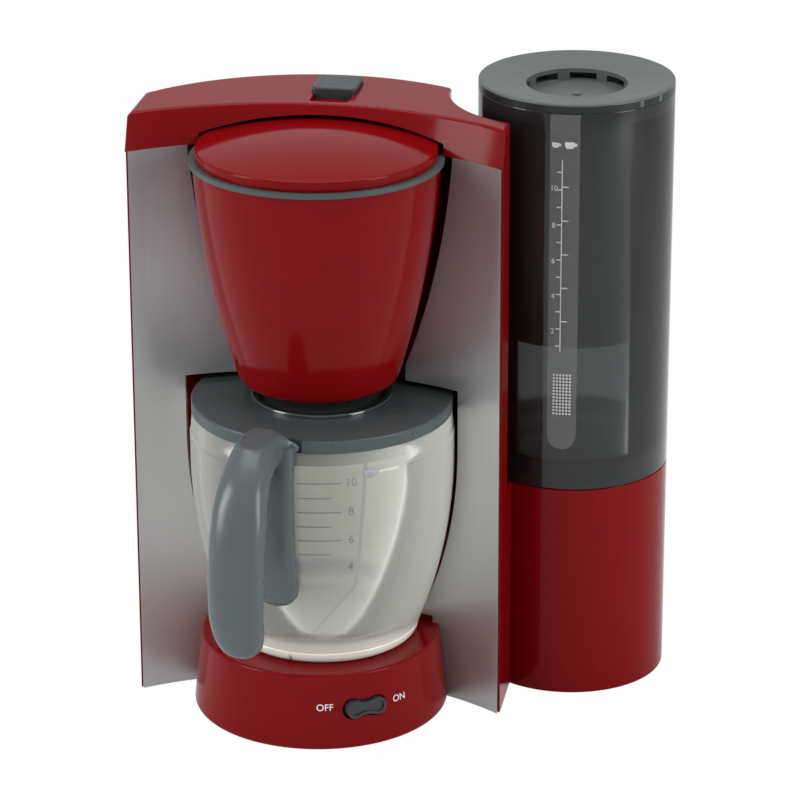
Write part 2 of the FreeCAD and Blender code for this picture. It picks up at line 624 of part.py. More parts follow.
ear_inner = "(filter_lid_radius + hinge_ear_root)"
ear_low = ("(hinge_ear_half * sin(hinge_ear_lean))", "(0 - hinge_ear_half * cos(hinge_ear_lean))")
ear_high = ("(0 - hinge_ear_half * sin(hinge_ear_lean))", "(hinge_ear_half * cos(hinge_ear_lean))")
ear_low_end = on_ring(ear_inner, "hinge_ear_to")
ear_high_end = on_ring(ear_inner, "hinge_ear_from")
root_low = on_ring("ring_radius", "hinge_ear_to")
root_high = on_ring("ring_radius", "hinge_ear_from")
ear_room = new_body("ear_room", at=ear_place)
ear_room_height = f"{ear_top} + running_gap - body_height + shell_wall"
room_low = "body_height - shell_wall"
extrude(ear_room, "Pad", discs(ear_room, [("0", "0")], "hinge_ear_radius + running_gap", room_low), ear_room_height)
fan = new_body("ear_fan", at=ear_place)
fan_start = swung(ear_low)
fan_end = swung(ear_low_end)
fan_corners = [
    (fan_start[0], f"{fan_start[1]} - running_gap"),
    (fan_end[0], f"{fan_end[1]} - running_gap"),
    (f"{ear_high_end[0]} + hinge_ear_radius", f"{fan_end[1]} - running_gap"),
    (f"{ear_high_end[0]} + hinge_ear_radius", f"{root_high[1]} + running_gap"),
    (f"{root_high[0]} - running_gap", f"{root_high[1]} + running_gap"),
    (f"{ear_high[0]} - running_gap", f"{ear_high[1]} + running_gap"),
]
extrude(fan, "Pad", outline(fan, "XY_Plane", fan_corners, room_low), ear_room_height)
cap_pin_hole = new_body("cap_pin_hole", at=ear_place)
extrude(cap_pin_hole, "Pad", discs(cap_pin_hole, [("0", "0")], "hinge_pin_radius", room_low),
        f"{ear_top} + hinge_pin_rise - body_height + shell_wall")

# Release button in its well, with a hollow for a fingertip in front of it
button_top = "(cap_top + button_rise)"
button_foot = f"({button_top} - button_thick)"
well_floor = f"({button_foot} - button_travel - running_gap)"


def rounded_block(body, wide, long_side, corner, lift):
    """A rectangle with round corners, about the body's own axis."""
    half = f"({wide}) / 2"
    deep = f"({long_side}) / 2"
    return outline(body, "XY_Plane", [
        (f"{corner} - {half}", f"-{deep}"),
        (f"{half} - {corner}", f"-{deep}", corner),
        (half, f"{corner} - {deep}"),
        (half, f"{deep} - {corner}", corner),
        (f"{half} - {corner}", deep),
        (f"{corner} - {half}", deep, corner),
        (f"-{half}", f"{deep} - {corner}"),
        (f"-{half}", f"{corner} - {deep}", corner),
    ], lift)


button_well = new_body("button_well", at=("0", "button_back", "0"))
well_sketch = rounded_block(button_well, "button_wide + 2 * running_gap", "button_long + 2 * running_gap",
                            "(button_round + running_gap)", well_floor)
extrude(button_well, "Pad", well_sketch, "cap_height")
finger_hollow = new_body("finger_hollow", at=("0", "button_back - button_long / 2 - finger_well / 2", "0"))
finger_sketch = rounded_block(finger_hollow, "button_wide - button_round", "finger_well + 2 * button_round",
                              "button_round", "cap_top - finger_well_deep")
extrude(finger_hollow, "Pad", finger_sketch, "cap_height")
cap_spaces = combine("MultiFuse", "cap_spaces", lid_room, [ear_room, fan, cap_pin_hole, button_well, finger_hollow])
top_cap = combine("Cut", "top_cap", cap_block, cap_spaces)

release_button = new_body("release_button", at=("0", "button_back", "0"))
extrude(release_button, "Pad", rounded_block(release_button, "button_wide", "button_long", "button_round", button_foot),
        "button_thick")
button_hollow = discs(release_button, [("0", "0")], "spring_hole", button_foot)
extrude(release_button, "Pocket", button_hollow, "button_thick - panel_thick", reverse=True)
soften(release_button, "button_round / 2", lambda edge: level(edge, number(button_top)))

button_spring = new_body("button_spring", at=("0", "button_back", "0"))
spin(button_spring, "Revolution", outline(button_spring, "XZ_Plane", block(
    ("spring_radius - spring_wire / 2", well_floor),
    ("spring_radius + spring_wire / 2", f"{button_top} - panel_thick"))))

hinge_pin = new_body("hinge_pin", at=ear_place)
pin_foot = "(body_height - hinge_boss_height + shell_wall)"
extrude(hinge_pin, "Pad", discs(hinge_pin, [("0", "0")], "hinge_pin_radius", pin_foot),
        f"{ear_top} + hinge_pin_rise - {pin_foot}")

# Switch: a dog-bone rocker on an upright pin, in a cradle behind the foot's wall
switch_rocker = new_body("switch_rocker", at=(
    "switch_pivot * sin(switch_turn)", "-switch_pivot * cos(switch_turn)", "switch_up"),
    turn="switch_turn + switch_lean")
rocker_back = "switch_reach - switch_pivot - switch_thick"
extrude(switch_rocker, "Pad", rocker_outline(switch_rocker, "0", rocker_back), "switch_thick")
dish_floor = "switch_reach - switch_pivot - switch_dish"
extrude(switch_rocker, "Pocket", rocker_outline(switch_rocker, "(0 - switch_rim)", dish_floor), "switch_thick",
        reverse=True)
extrude(switch_rocker, "Pocket", discs(switch_rocker, [("0", "0")], "switch_pin_radius + hinge_fit", "-switch_end * 2"),
        "switch_end * 4", reverse=True)
switch_place = ("switch_pivot * sin(switch_turn)", "-switch_pivot * cos(switch_turn)", "switch_up")
switch_pin = new_body("switch_pin", at=switch_place, turn="switch_turn")
extrude(switch_pin, "Pad", discs(switch_pin, [("0", "0")], "switch_pin_radius", "-cradle_tall / 2"), "cradle_tall")
switch_cradle = new_body("switch_cradle", at=switch_place, turn="switch_turn")
cradle_corners = block(("-cradle_wide / 2", "-cradle_tall / 2"), ("cradle_wide / 2", "cradle_tall / 2"))
cradle_back = "cradle_front - cradle_deep"
extrude(switch_cradle, "Pad", outline(switch_cradle, "XZ_Plane", cradle_corners, cradle_back), "cradle_deep")
cradle_room = rocker_outline(switch_cradle, "switch_gap", "-cradle_deep")
extrude(switch_cradle, "Pocket", cradle_room, "cradle_deep * 2", reverse=True)
cradle_bore = discs(switch_cradle, [("0", "0")], "switch_pin_radius", "-cradle_tall / 2")
extrude(switch_cradle, "Pocket", cradle_bore, "cradle_tall", reverse=True)

# Base of the tank: a round hollow tower joined to the body by a neck that fills the scoop
neck_plan = body_plan("0")
tank_near = "tank_back - sqrt(tank_radius^2 - (tank_side - body_half_width)^2)"
tank_base_block = new_body("tank_base_block")
extrude(tank_base_block, "Pad", outline(tank_base_block, "XY_Plane", [
    (neck_plan[2][0], neck_plan[2][1]),
    ("body_half_width", tank_near, "tank_radius"),
    ("tank_side + tank_radius", "tank_back", "tank_radius"),
    ("tank_side + tank_radius * cos(neck_angle)", "tank_back + tank_radius * sin(neck_angle)"),
    (neck_plan[3][0], neck_plan[3][1], "tank_scoop"),
], "floor_gap"), "tank_base_height - floor_gap")
tank_place = ("tank_side", "tank_back", "0")
tank_base_hollow = new_body("tank_base_hollow", at=tank_place)
extrude(tank_base_hollow, "Pad", discs(tank_base_hollow, [("0", "0")], "tank_radius - shell_wall"),
        "tank_base_height - shell_wall")
tank_screw_places = [
    ("tank_screw_ring * cos(tank_screw_angle)", "tank_screw_ring * sin(tank_screw_angle)"),
    ("-tank_screw_ring * cos(tank_screw_angle)", "-tank_screw_ring * sin(tank_screw_angle)"),
]
tank_bosses = new_body("tank_bosses", at=tank_place)
tank_bosses.AllowCompound = True
extrude(tank_bosses, "Pad", discs(tank_bosses, tank_screw_places, "boss_radius", "cover_lift + cover_thick"),
        "boss_height - cover_lift - cover_thick")
extrude(tank_bosses, "Pocket", discs(tank_bosses, tank_screw_places, "screw_radius"), "boss_height - shell_wall",
        reverse=True)
spigot = new_body("tank_spigot", at=tank_place)
spin(spigot, "Revolution", outline(spigot, "XZ_Plane", block(
    ("spigot_radius - shell_wall", "tank_base_height - shell_wall / 2"),
    ("spigot_radius", "tank_base_height + spigot_rise"))))
tank_base_walls = combine("Cut", "tank_base_walls", tank_base_block, tank_base_hollow)
tank_base = combine("MultiFuse", "tank_base", tank_base_walls, [tank_bosses, spigot])

# Covers under the body, the foot and the tank base, with their screws and rubber feet
cover_gap = "seat_gap"
body_cover = new_body("body_cover")
extrude(body_cover, "Pad", outline(body_cover, "XY_Plane", body_plan(f"(shell_wall + {cover_gap})"), "cover_lift"),
        "cover_thick")
extrude(body_cover, "Pocket", discs(body_cover, screw_places, "screw_radius + seat_gap", "cover_lift"), "cover_thick",
        reverse=True)
foot_disc = new_body("foot_disc")
extrude(foot_disc, "Pad", discs(foot_disc, [("0", "0")], "foot_radius - shell_wall - running_gap * 2", "cover_lift"),
        "cover_thick")
extrude(foot_disc, "Pocket", discs(foot_disc, foot_screw_places, "screw_radius + seat_gap", "cover_lift"),
        "cover_thick", reverse=True)
foot_disc_front = new_body("foot_disc_front", at=("0", "-face_centre", "0"))
extrude(foot_disc_front, "Pad", discs(foot_disc_front, [("0", "0")], "face_bow - seat_gap"), "foot_height")
foot_cover = combine("Common", "foot_cover", foot_disc, foot_disc_front)
tank_cover = new_body("tank_cover", at=tank_place)
extrude(tank_cover, "Pad", discs(tank_cover, [("0", "0")], f"tank_radius - shell_wall - {cover_gap}", "cover_lift"),
        "cover_thick")
extrude(tank_cover, "Pocket", discs(tank_cover, tank_screw_places, "screw_radius + seat_gap", "cover_lift"),
        "cover_thick", reverse=True)


def at_tank(places):
    """Places given from the tank's axis, told from the jug's axis."""
    return [(f"tank_side + {across}", f"tank_back + {back}") for across, back in places]


cover_screws = new_body("cover_screws")
cover_screws.AllowCompound = True
all_screws = screw_places + foot_screw_places + at_tank(tank_screw_places)
screw_head_foot = "cover_lift - screw_head_thick"
extrude(cover_screws, "Pad", discs(cover_screws, all_screws, "screw_head_radius", screw_head_foot), "screw_head_thick")
extrude(cover_screws, "Pad", discs(cover_screws, all_screws, "screw_radius", screw_head_foot),
        "screw_head_thick + screw_long")
rubber_feet = new_body("rubber_feet")
rubber_feet.AllowCompound = True
rubber_places = [
    ("0", "0"),
    ("-rubber_front", "-rubber_front / 2"),
    ("rubber_front * 0.75", "-rubber_front * 0.75"),
    ("-body_half_width + rubber_radius * 4", "left_screw_back + rubber_radius * 2"),
    ("tank_side", "tank_back + rubber_front / 2"),
]
extrude(rubber_feet, "Pad", discs(rubber_feet, rubber_places, "rubber_radius"), "cover_lift")

# Filter holder: the cup with its ring and ear, the basket, the domed lid and the drip outlet
holder_place = ("0", "cup_axis_back", "0")
cup_top = "(ring_top - ring_height)"
filter_cup = new_body("filter_cup", at=holder_place)
spin(filter_cup, "Revolution", outline(filter_cup, "XZ_Plane", [
    ("0", "cup_bottom"),
    ("cup_bottom_radius", "cup_bottom", "cup_round_bow"),
    ("cup_round_radius", "cup_bottom + cup_round_height", "cup_bow"),
    ("cup_top_radius", cup_top),
    ("0", cup_top),
]))
spin(filter_cup, "Groove", outline(filter_cup, "XZ_Plane", [
    ("0", "cup_bottom + cup_wall"),
    ("cup_bottom_radius", "cup_bottom + cup_wall", "(cup_round_bow - cup_wall)"),
    ("cup_round_radius - cup_wall", "cup_bottom + cup_round_height + cup_wall / 2", "(cup_bow - cup_wall)"),
    ("cup_top_radius - cup_wall", cup_top),
    ("0", cup_top),
]))
extrude(filter_cup, "Pocket", discs(filter_cup, [("0", "0")], "outlet_radius", "cup_bottom"), "cup_wall", reverse=True)

rim_band = new_body("rim_band", at=holder_place)
spin(rim_band, "Revolution", outline(rim_band, "XZ_Plane", [
    ("ring_ledge_radius", cup_top),
    ("ring_radius", cup_top),
    ("ring_radius", "ring_top"),
    ("ring_ledge_radius + ring_ledge", "ring_top"),
    ("ring_ledge_radius + ring_ledge", f"{cup_top} + ring_height / 2"),
    ("ring_ledge_radius", f"{cup_top} + ring_height / 2"),
]))
ear_plate = new_body("ear_plate", at=ear_place)
extrude(ear_plate, "Pad", outline(ear_plate, "XY_Plane", [ear_low, ear_low_end, ear_high_end, ear_high], ear_lift),
        "hinge_ear_thick")
ear_disc = new_body("ear_disc", at=ear_place)
extrude(ear_disc, "Pad", discs(ear_disc, [("0", "0")], "hinge_ear_radius", ear_lift), "hinge_ear_thick")
ear_root = new_body("ear_root", at=ear_place)
root_corners = [root_low, ear_low_end, ear_high_end, root_high]
extrude(ear_root, "Pad", outline(ear_root, "XY_Plane", root_corners, "ring_top - ring_height / 2"),
        f"{ear_top} - ring_top + ring_height / 2")
ear_bore = new_body("ear_bore", at=ear_place)
extrude(ear_bore, "Pad", discs(ear_bore, [("0", "0")], "hinge_pin_radius + hinge_fit", "body_height"),
        "cap_height / 2")
rim_and_ear = combine("MultiFuse", "rim_and_ear", rim_band, [ear_root, ear_plate, ear_disc])
filter_rim_ring = combine("Cut", "filter_rim_ring", rim_and_ear, ear_bore)

filter_basket = new_body("filter_basket", at=holder_place)
basket_foot = "(cup_bottom + cup_wall + basket_lift)"
basket_seat = f"({cup_top} + ring_height / 2)"
basket_neck = "(ring_ledge_radius - running_gap)"
spin(filter_basket, "Revolution", outline(filter_basket, "XZ_Plane", [
    ("0", basket_foot),
    ("basket_bottom_radius", basket_foot),
    (basket_neck, basket_seat),
    ("ring_ledge_radius + ring_ledge - seat_gap", basket_seat),
    ("ring_ledge_radius + ring_ledge - seat_gap", "ring_top"),
    (f"{basket_neck} - basket_wall", "ring_top"),
    ("basket_bottom_radius - basket_wall / 2", f"{basket_foot} + basket_wall"),
    ("0", f"{basket_foot} + basket_wall"),
]))


def dome_bow(radius, rise):
    """The radius of a dome from its plan radius and its rise."""
    return f"(({radius})^2 + ({rise})^2) / (2 * ({rise}))"


filter_lid = new_body("filter_lid", at=holder_place)
lid_shoulder = "ring_top + filter_lid_edge"
inner_lid_radius = "filter_lid_radius - filter_lid_wall"
spin(filter_lid, "Revolution", outline(filter_lid, "XZ_Plane", [
    (inner_lid_radius, "ring_top"),
    ("filter_lid_radius", "ring_top"),
    ("filter_lid_radius", lid_shoulder, f"({dome_bow('filter_lid_radius', 'filter_lid_rise')})"),
    ("0", f"{lid_shoulder} + filter_lid_rise"),
    ("0", f"{lid_shoulder} + filter_lid_rise - filter_lid_wall", f"-({dome_bow(inner_lid_radius, 'filter_lid_rise')})"),
    (inner_lid_radius, f"{lid_shoulder} - filter_lid_wall"),
]))

drip_outlet = new_body("drip_outlet", at=holder_place)
outlet_floor = "cup_bottom + cup_wall"
spin(drip_outlet, "Revolution", outline(drip_outlet, "XZ_Plane", [
    ("outlet_radius * 2 / 3", "cup_bottom"),
    ("outlet_radius", "cup_bottom"),
    ("outlet_radius", outlet_floor),
    ("outlet_radius * 2", outlet_floor),
    ("outlet_radius * 2", f"{outlet_floor} + basket_wall"),
    ("outlet_radius * 2 / 3", f"{outlet_floor} + basket_wall"),
]))

# Jug: a clear body with a lid, a glossy collar and a handle
jug_place = ("jug_off_centre", "0", "jug_stand")


def jug_outside(grow):
    """The jug's outer outline from its axis, grown by an amount, closed along the axis."""
    return [
        ("0", "0"),
        ("jug_bottom_radius", "0", f"(jug_round_bow + {grow})"),
        (f"jug_round_radius + {grow}", "jug_round_height", f"(jug_bow + {grow})"),
        (f"jug_shoulder_radius + {grow}", "jug_shoulder_height"),
        (f"jug_shoulder_radius + {grow}", "jug_rim_height - jug_rim_step"),
        (f"jug_rim_radius + {grow}", "jug_rim_height"),
        ("0", "jug_rim_height"),
    ]


jug_body = new_body("jug_body", at=jug_place)
spin(jug_body, "Revolution", outline(jug_body, "XZ_Plane", jug_outside("0")))
spin(jug_body, "Groove", outline(jug_body, "XZ_Plane", [
    ("0", "jug_wall"),
    ("jug_bottom_radius", "jug_wall", "(jug_round_bow - jug_wall)"),
    ("jug_round_radius - jug_wall", "jug_round_height + jug_wall / 2", "(jug_bow - jug_wall)"),
    ("jug_shoulder_radius - jug_wall", "jug_shoulder_height"),
    ("jug_shoulder_radius - jug_wall", "jug_rim_height - jug_rim_step"),
    ("jug_rim_radius - jug_wall", "jug_rim_height"),
    ("0", "jug_rim_height"),
]))

lid_place = ("jug_off_centre", "0", "jug_stand + jug_rim_height")
skirt_radius = "jug_rim_radius - jug_wall - running_gap"
jug_lid = new_body("jug_lid", at=lid_place, turn="-handle_turn")
spin(jug_lid, "Revolution", outline(jug_lid, "XZ_Plane", [
    ("lid_hole_radius", "jug_lid_thick - jug_lid_plate"),
    (f"{skirt_radius} - skirt_wall", "jug_lid_thick - jug_lid_plate"),
    (f"{skirt_radius} - skirt_wall", "-jug_lid_skirt"),
    (skirt_radius, "-jug_lid_skirt"),
    (skirt_radius, "0"),
    ("jug_lid_radius", "0"),
    ("jug_lid_radius", "jug_lid_thick"),
    ("lid_hole_radius", "jug_lid_thick"),
]))
soften(jug_lid, "jug_lid_edge", lambda edge: level(edge, number("jug_lid_thick")) and edge.Length > number("jug_lid_radius * 4"))
head_notch = block(("-head_notch_wide / 2", "-jug_shoulder_radius"), ("head_notch_wide / 2", "-head_notch_start"))
extrude(jug_lid, "Pocket", outline(jug_lid, "XY_Plane", head_notch), "jug_lid_thick", reverse=True)

jug_lid_ring = new_body("jug_lid_ring", at=("jug_off_centre", "0", "lid_top"))
spin(jug_lid_ring, "Revolution", outline(jug_lid_ring, "XZ_Plane", [
    ("collar_radius - collar_wide", "0"),
    ("collar_radius", "0"),
    ("collar_radius", "collar_rise / 2", "(collar_wide / 2)"),
    ("collar_radius - collar_wide / 2", "collar_rise", "(collar_wide / 2)"),
    ("collar_radius - collar_wide", "collar_rise / 2"),
]))

# Handle: a leg on the jug's wall, and a bowed grip of oval section with a thumb rest
handle_leg = new_body("handle_leg", at=jug_place, turn="-handle_turn")
leg_half = "handle_wide / 2"
leg_low = "leg_bottom - jug_stand + handle_wide / 2"
extrude(handle_leg, "Pad", outline(handle_leg, "XZ_Plane", [
    (f"-{leg_half}", leg_low, f"({leg_half})"),
    ("0", "leg_bottom - jug_stand", f"({leg_half})"),
    (leg_half, leg_low),
    (leg_half, "jug_rim_height"),
    (f"-{leg_half}", "jug_rim_height"),
]), "grip_reach")
leg_band = new_body("leg_band", at=jug_place)
spin(leg_band, "Revolution", outline(leg_band, "XZ_Plane", jug_outside("leg_thick")))
leg_on_band = combine("Common", "leg_on_band", handle_leg, leg_band)

grip = new_body("handle_grip", at=("jug_off_centre", "0", "0"), turn="-handle_turn")
shoulder_out = "(grip_reach - grip_bow * (1 - cos(grip_lean)))"
level_out = f"({shoulder_out} - grip_bend * cos(grip_lean))"
shoulder_up = "(grip_head - grip_bend * (1 - sin(grip_lean)))"
bow_middle = f"({shoulder_up} - grip_bow * sin(grip_lean))"
grip_foot = "(grip_bottom - grip_end_round)"
foot_out = f"(grip_reach - grip_bow + sqrt(grip_bow^2 - ({grip_foot} - {bow_middle})^2))"
grip_path = outline(grip, "YZ_Plane", [
    ("-grip_start", "grip_head"),
    (f"-{level_out}", "grip_head", "grip_bend"),
    (f"-{shoulder_out}", shoulder_up, "grip_bow"),
    (f"-{foot_out}", grip_foot),
], closed=False)
oval_half = "(grip_wide / 2)"
oval_deep = "(grip_thick / 2)"
oval_side = "grip_side_bow"
oval_top = f"((({oval_half} - {oval_side})^2 + {oval_deep}^2 - {oval_side}^2) / (2 * ({oval_deep} - {oval_side})))"
oval_across = f"({oval_half} - {oval_side}) * (1 + {oval_side} / ({oval_top} - {oval_side}))"
oval_rise = f"({oval_side} * ({oval_top} - {oval_deep}) / ({oval_top} - {oval_side}))"
grip_section = outline(grip, "XZ_Plane", [
    (oval_across, f"grip_head - {oval_rise}", oval_side),
    (oval_across, f"grip_head + {oval_rise}", oval_top),
    (f"-{oval_across}", f"grip_head + {oval_rise}", oval_side),
    (f"-{oval_across}", f"grip_head - {oval_rise}", oval_top),
], "grip_start")
grip_pipe = grip.newObject("PartDesign::AdditivePipe", "grip_pipe")
grip_pipe.Profile = grip_section
grip_pipe.Spine = (grip_path, [])
grip.Tip = grip_pipe
document.recompute()
soften(grip, "grip_end_round", lambda edge: edge.BoundBox.ZMax < number("grip_bottom") + number("grip_end_round"))
jug_filled = new_body("jug_filled", at=jug_place)
spin(jug_filled, "Revolution", outline(jug_filled, "XZ_Plane", jug_outside("0")))
handle_solid = combine("MultiFuse", "handle_solid", grip, [leg_on_band])
jug_handle = combine("Cut", "jug_handle", handle_solid, jug_filled)

# Tank: a smoke-clear cylinder, a dark inner vessel and a dished lid with a windowed well
tank_foot_place = ("tank_side", "tank_back", "tank_base_height + seat_gap")
tank_cylinder = new_body("tank_cylinder", at=tank_foot_place)
tank_inside = "tank_radius - tank_wall"
spin(tank_cylinder, "Revolution", outline(tank_cylinder, "XZ_Plane", [
    (tank_inside, "0"),
    ("tank_radius", "0"),
    ("tank_radius", "tank_height"),
    (tank_inside, "tank_height"),
    (tank_inside, "tank_floor"),
    ("0", "tank_floor"),
    ("0", "tank_floor - tank_floor_plate"),
    (tank_inside, "tank_floor - tank_floor_plate"),
]))
tank_inner_vessel = new_body("tank_inner_vessel", at=tank_foot_place)
vessel_foot = "tank_height - vessel_drop"
spin(tank_inner_vessel, "Revolution", outline(tank_inner_vessel, "XZ_Plane", [
    ("0", vessel_foot),
    ("vessel_radius", vessel_foot),
    ("vessel_radius", "tank_height - vessel_wall"),
    (f"{tank_inside} - seat_gap", "tank_height - vessel_wall"),
    (f"{tank_inside} - seat_gap", "tank_height"),
    ("vessel_radius - vessel_wall", "tank_height"),
    ("vessel_radius - vessel_wall", f"{vessel_foot} + vessel_wall"),
    ("0", f"{vessel_foot} + vessel_wall"),
]))

tank_lid = new_body("tank_lid", at=("tank_side", "tank_back", "tank_top"))
lid_skirt = "(vessel_radius - vessel_wall - running_gap)"
well_floor_top = "(tank_lid_thick - well_deep)"
spin(tank_lid, "Revolution", outline(tank_lid, "XZ_Plane", [
    ("0", f"{well_floor_top} - well_wall"),
    ("well_radius + well_wall", f"{well_floor_top} - well_wall"),
    ("well_radius + well_wall", "tank_lid_thick - tank_lid_dish - tank_lid_plate"),
    (f"{lid_skirt} - skirt_wall", "tank_lid_thick - tank_lid_plate * 2"),
    (f"{lid_skirt} - skirt_wall", "-tank_lid_skirt"),
    (lid_skirt, "-tank_lid_skirt"),
    (lid_skirt, "0"),
    ("tank_radius", "0"),
    ("tank_radius", "tank_lid_thick - tank_lid_edge", "tank_lid_edge"),
    ("tank_radius - tank_lid_edge", "tank_lid_thick"),
    ("well_radius", "tank_lid_thick - tank_lid_dish"),
    ("well_radius", well_floor_top),
    ("0", well_floor_top),
]))
extrude(tank_lid, "Pad", discs(tank_lid, [("0", "0")], "well_mark_radius", well_floor_top), "well_mark_rise")
window_low = f"{well_floor_top} + window_sill"
window_high = "tank_lid_thick - tank_lid_dish - tank_lid_plate"
window_sketch = outline(tank_lid, "XZ_Plane", block(("-window_wide / 2", window_low), ("window_wide / 2", window_high)),
                        "well_radius / 2")
window_cut = extrude(tank_lid, "Pocket", window_sketch, "well_radius", reverse=True)
windows = tank_lid.newObject("PartDesign::PolarPattern", "well_windows_ring")
windows.Originals = [window_cut]
windows.Axis = (next(line for line in tank_lid.Origin.OriginFeatures if line.Role == "Z_Axis"), [""])
windows.Angle = 360
windows.setExpression("Occurrences", spelled("well_windows"))
tank_lid.Tip = windows
document.recompute()

# Every piece is checked and written as its own file
pieces = [
    housing_shell, front_panel_left, front_panel_right, base_foot, hot_plate, top_cap, hinge_pin,
    switch_cradle, switch_pin, tank_base, body_cover, foot_cover, tank_cover, cover_screws, rubber_feet,
    filter_cup, filter_rim_ring, filter_basket, filter_lid, drip_outlet,
    jug_body, jug_lid, jug_lid_ring, jug_handle,
    tank_cylinder, tank_inner_vessel, tank_lid, release_button, button_spring, switch_rocker,
]
document.recompute()
for item in document.Objects:
    if "Invalid" in item.State or "Error" in item.State:
        raise RuntimeError(f"{item.Name} did not build: {item.State}")
for piece in pieces:
    if piece.Shape.isNull() or not piece.Shape.isValid():
        raise RuntimeError(f"{piece.Label} has no valid shape")
os.makedirs("parts", exist_ok=True)
for piece in pieces:
    piece.Shape.exportStep(f"parts/{piece.Label}.step")
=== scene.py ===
from math import asin, cos, pi, radians, sin, sqrt, tan

import bmesh
import bpy
from mathutils import Matrix, Vector


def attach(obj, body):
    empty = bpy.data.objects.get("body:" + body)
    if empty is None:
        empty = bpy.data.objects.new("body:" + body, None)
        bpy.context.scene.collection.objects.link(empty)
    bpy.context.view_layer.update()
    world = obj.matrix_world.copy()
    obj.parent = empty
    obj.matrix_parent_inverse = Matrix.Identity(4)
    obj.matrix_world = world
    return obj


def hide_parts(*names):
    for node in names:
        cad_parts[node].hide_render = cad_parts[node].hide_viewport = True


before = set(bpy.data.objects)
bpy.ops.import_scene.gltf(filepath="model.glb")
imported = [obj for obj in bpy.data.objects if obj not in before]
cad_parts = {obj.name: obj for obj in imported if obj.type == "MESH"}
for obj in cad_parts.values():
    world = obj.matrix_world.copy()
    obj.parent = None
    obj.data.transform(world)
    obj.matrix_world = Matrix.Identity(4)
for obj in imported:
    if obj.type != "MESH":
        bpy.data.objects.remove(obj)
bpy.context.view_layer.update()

# The toy stands on a plain white table in front of a white wall. Three soft lamps light it,
# and the camera looks down on it from the front, a little from the tank's side.

MM = 0.001
scene = bpy.context.scene
scene.view_settings.view_transform = "Standard"

camera_place = Vector((0.2201, -1.1191, 0.5465))
camera_target = Vector((0.022403, 0.026906, 0.097753))
camera_roll = radians(-0.155)
camera_data = bpy.data.cameras.new("camera")
camera_data.lens = 168.9
camera_data.sensor_width = 36
camera_data.clip_end = 20
camera = bpy.data.objects.new("camera", camera_data)
look = (camera_target - camera_place).to_track_quat("-Z", "Y").to_matrix().to_4x4()
camera.matrix_world = Matrix.Translation(camera_place) @ look @ Matrix.Rotation(camera_roll, 4, "Z")
scene.collection.objects.link(camera)
scene.camera = camera


def link_value(tree, value, socket):
    """Sets a socket to a constant, or links an output to it."""
    if isinstance(value, bpy.types.NodeSocket):
        tree.links.new(value, socket)
    elif socket.type == "RGBA" and len(value) == 3:
        socket.default_value = (*value, 1)
    else:
        socket.default_value = value


def add_node(tree, kind, inputs=None, **settings):
    """A shader node with its settings, and its inputs set or linked by name or number."""
    node = tree.nodes.new("ShaderNode" + kind)
    for name, value in settings.items():
        setattr(node, name, value)
    for name, value in (inputs or {}).items():
        link_value(tree, value, node.inputs[name])
    return node


def shader_tree(owner):
    """An empty node tree on a material or world, with its output node."""
    owner.use_nodes = True
    tree = owner.node_tree
    tree.nodes.clear()
    kind = "OutputWorld" if isinstance(owner, bpy.types.World) else "OutputMaterial"
    return tree, add_node(tree, kind)


def backdrop_share(tree, glossy_share):
    """How much a ray meets the white backdrop: fully for the lens and through clear plastic."""
    path = add_node(tree, "LightPath")
    seen = add_node(tree, "Math", {0: path.outputs["Is Camera Ray"], 1: path.outputs["Is Transmission Ray"]},
                    operation="MAXIMUM")
    glossy = add_node(tree, "Math", {0: path.outputs["Is Glossy Ray"], 1: glossy_share}, operation="MULTIPLY")
    return add_node(tree, "Math", {0: seen.outputs[0], 1: glossy.outputs[0]}, operation="MAXIMUM").outputs[0]


world = bpy.data.worlds.new("studio")
scene.world = world
tree, output = shader_tree(world)
white_wall = add_node(tree, "Background", {"Color": (1, 1, 1), "Strength": 1.0})
room_light = add_node(tree, "Background", {"Color": (0.95, 0.97, 1), "Strength": 0.42})
wall_in_gloss, table_in_gloss, table_glow = 0.45, 0.3, 0.97
wall_share = backdrop_share(tree, wall_in_gloss)
seen = add_node(tree, "MixShader", {0: wall_share, 1: room_light.outputs[0], 2: white_wall.outputs[0]})
tree.links.new(seen.outputs[0], output.inputs["Surface"])

table_material = bpy.data.materials.new("white_table")
tree, output = shader_tree(table_material)
table_paint = add_node(tree, "BsdfDiffuse", {"Color": (0.80, 0.80, 0.80)})
table_white = add_node(tree, "Emission", {"Color": (1, 1, 1), "Strength": 1.0})
table_share = add_node(tree, "Math", {0: backdrop_share(tree, table_in_gloss), 1: table_glow},
                       operation="MULTIPLY")
table_seen = add_node(tree, "MixShader", {0: table_share.outputs[0], 1: table_paint.outputs[0],
                                          2: table_white.outputs[0]})
tree.links.new(table_seen.outputs[0], output.inputs["Surface"])

table_half = 3.0
table_mesh = bpy.data.meshes.new("table")
table_corners = [(-table_half, -table_half, 0), (table_half, -table_half, 0), (table_half, table_half, 0),
                 (-table_half, table_half, 0)]
table_mesh.from_pydata(table_corners, [], [(0, 1, 2, 3)])
table_mesh.materials.append(table_material)
table = bpy.data.objects.new("table", table_mesh)
scene.collection.objects.link(table)


def soft_lamp(name, place, aim, wide, tall, watts):
    """A rectangular soft lamp that faces a point of the toy."""
    data = bpy.data.lights.new(name, "AREA")
    data.shape = "RECTANGLE"
    data.size = wide
    data.size_y = tall
    data.energy = watts
    lamp = bpy.data.objects.new(name, data)
    turn = (Vector(aim) - Vector(place)).to_track_quat("-Z", "Y").to_matrix().to_4x4()
    lamp.matrix_world = Matrix.Translation(place) @ turn
    scene.collection.objects.link(lamp)


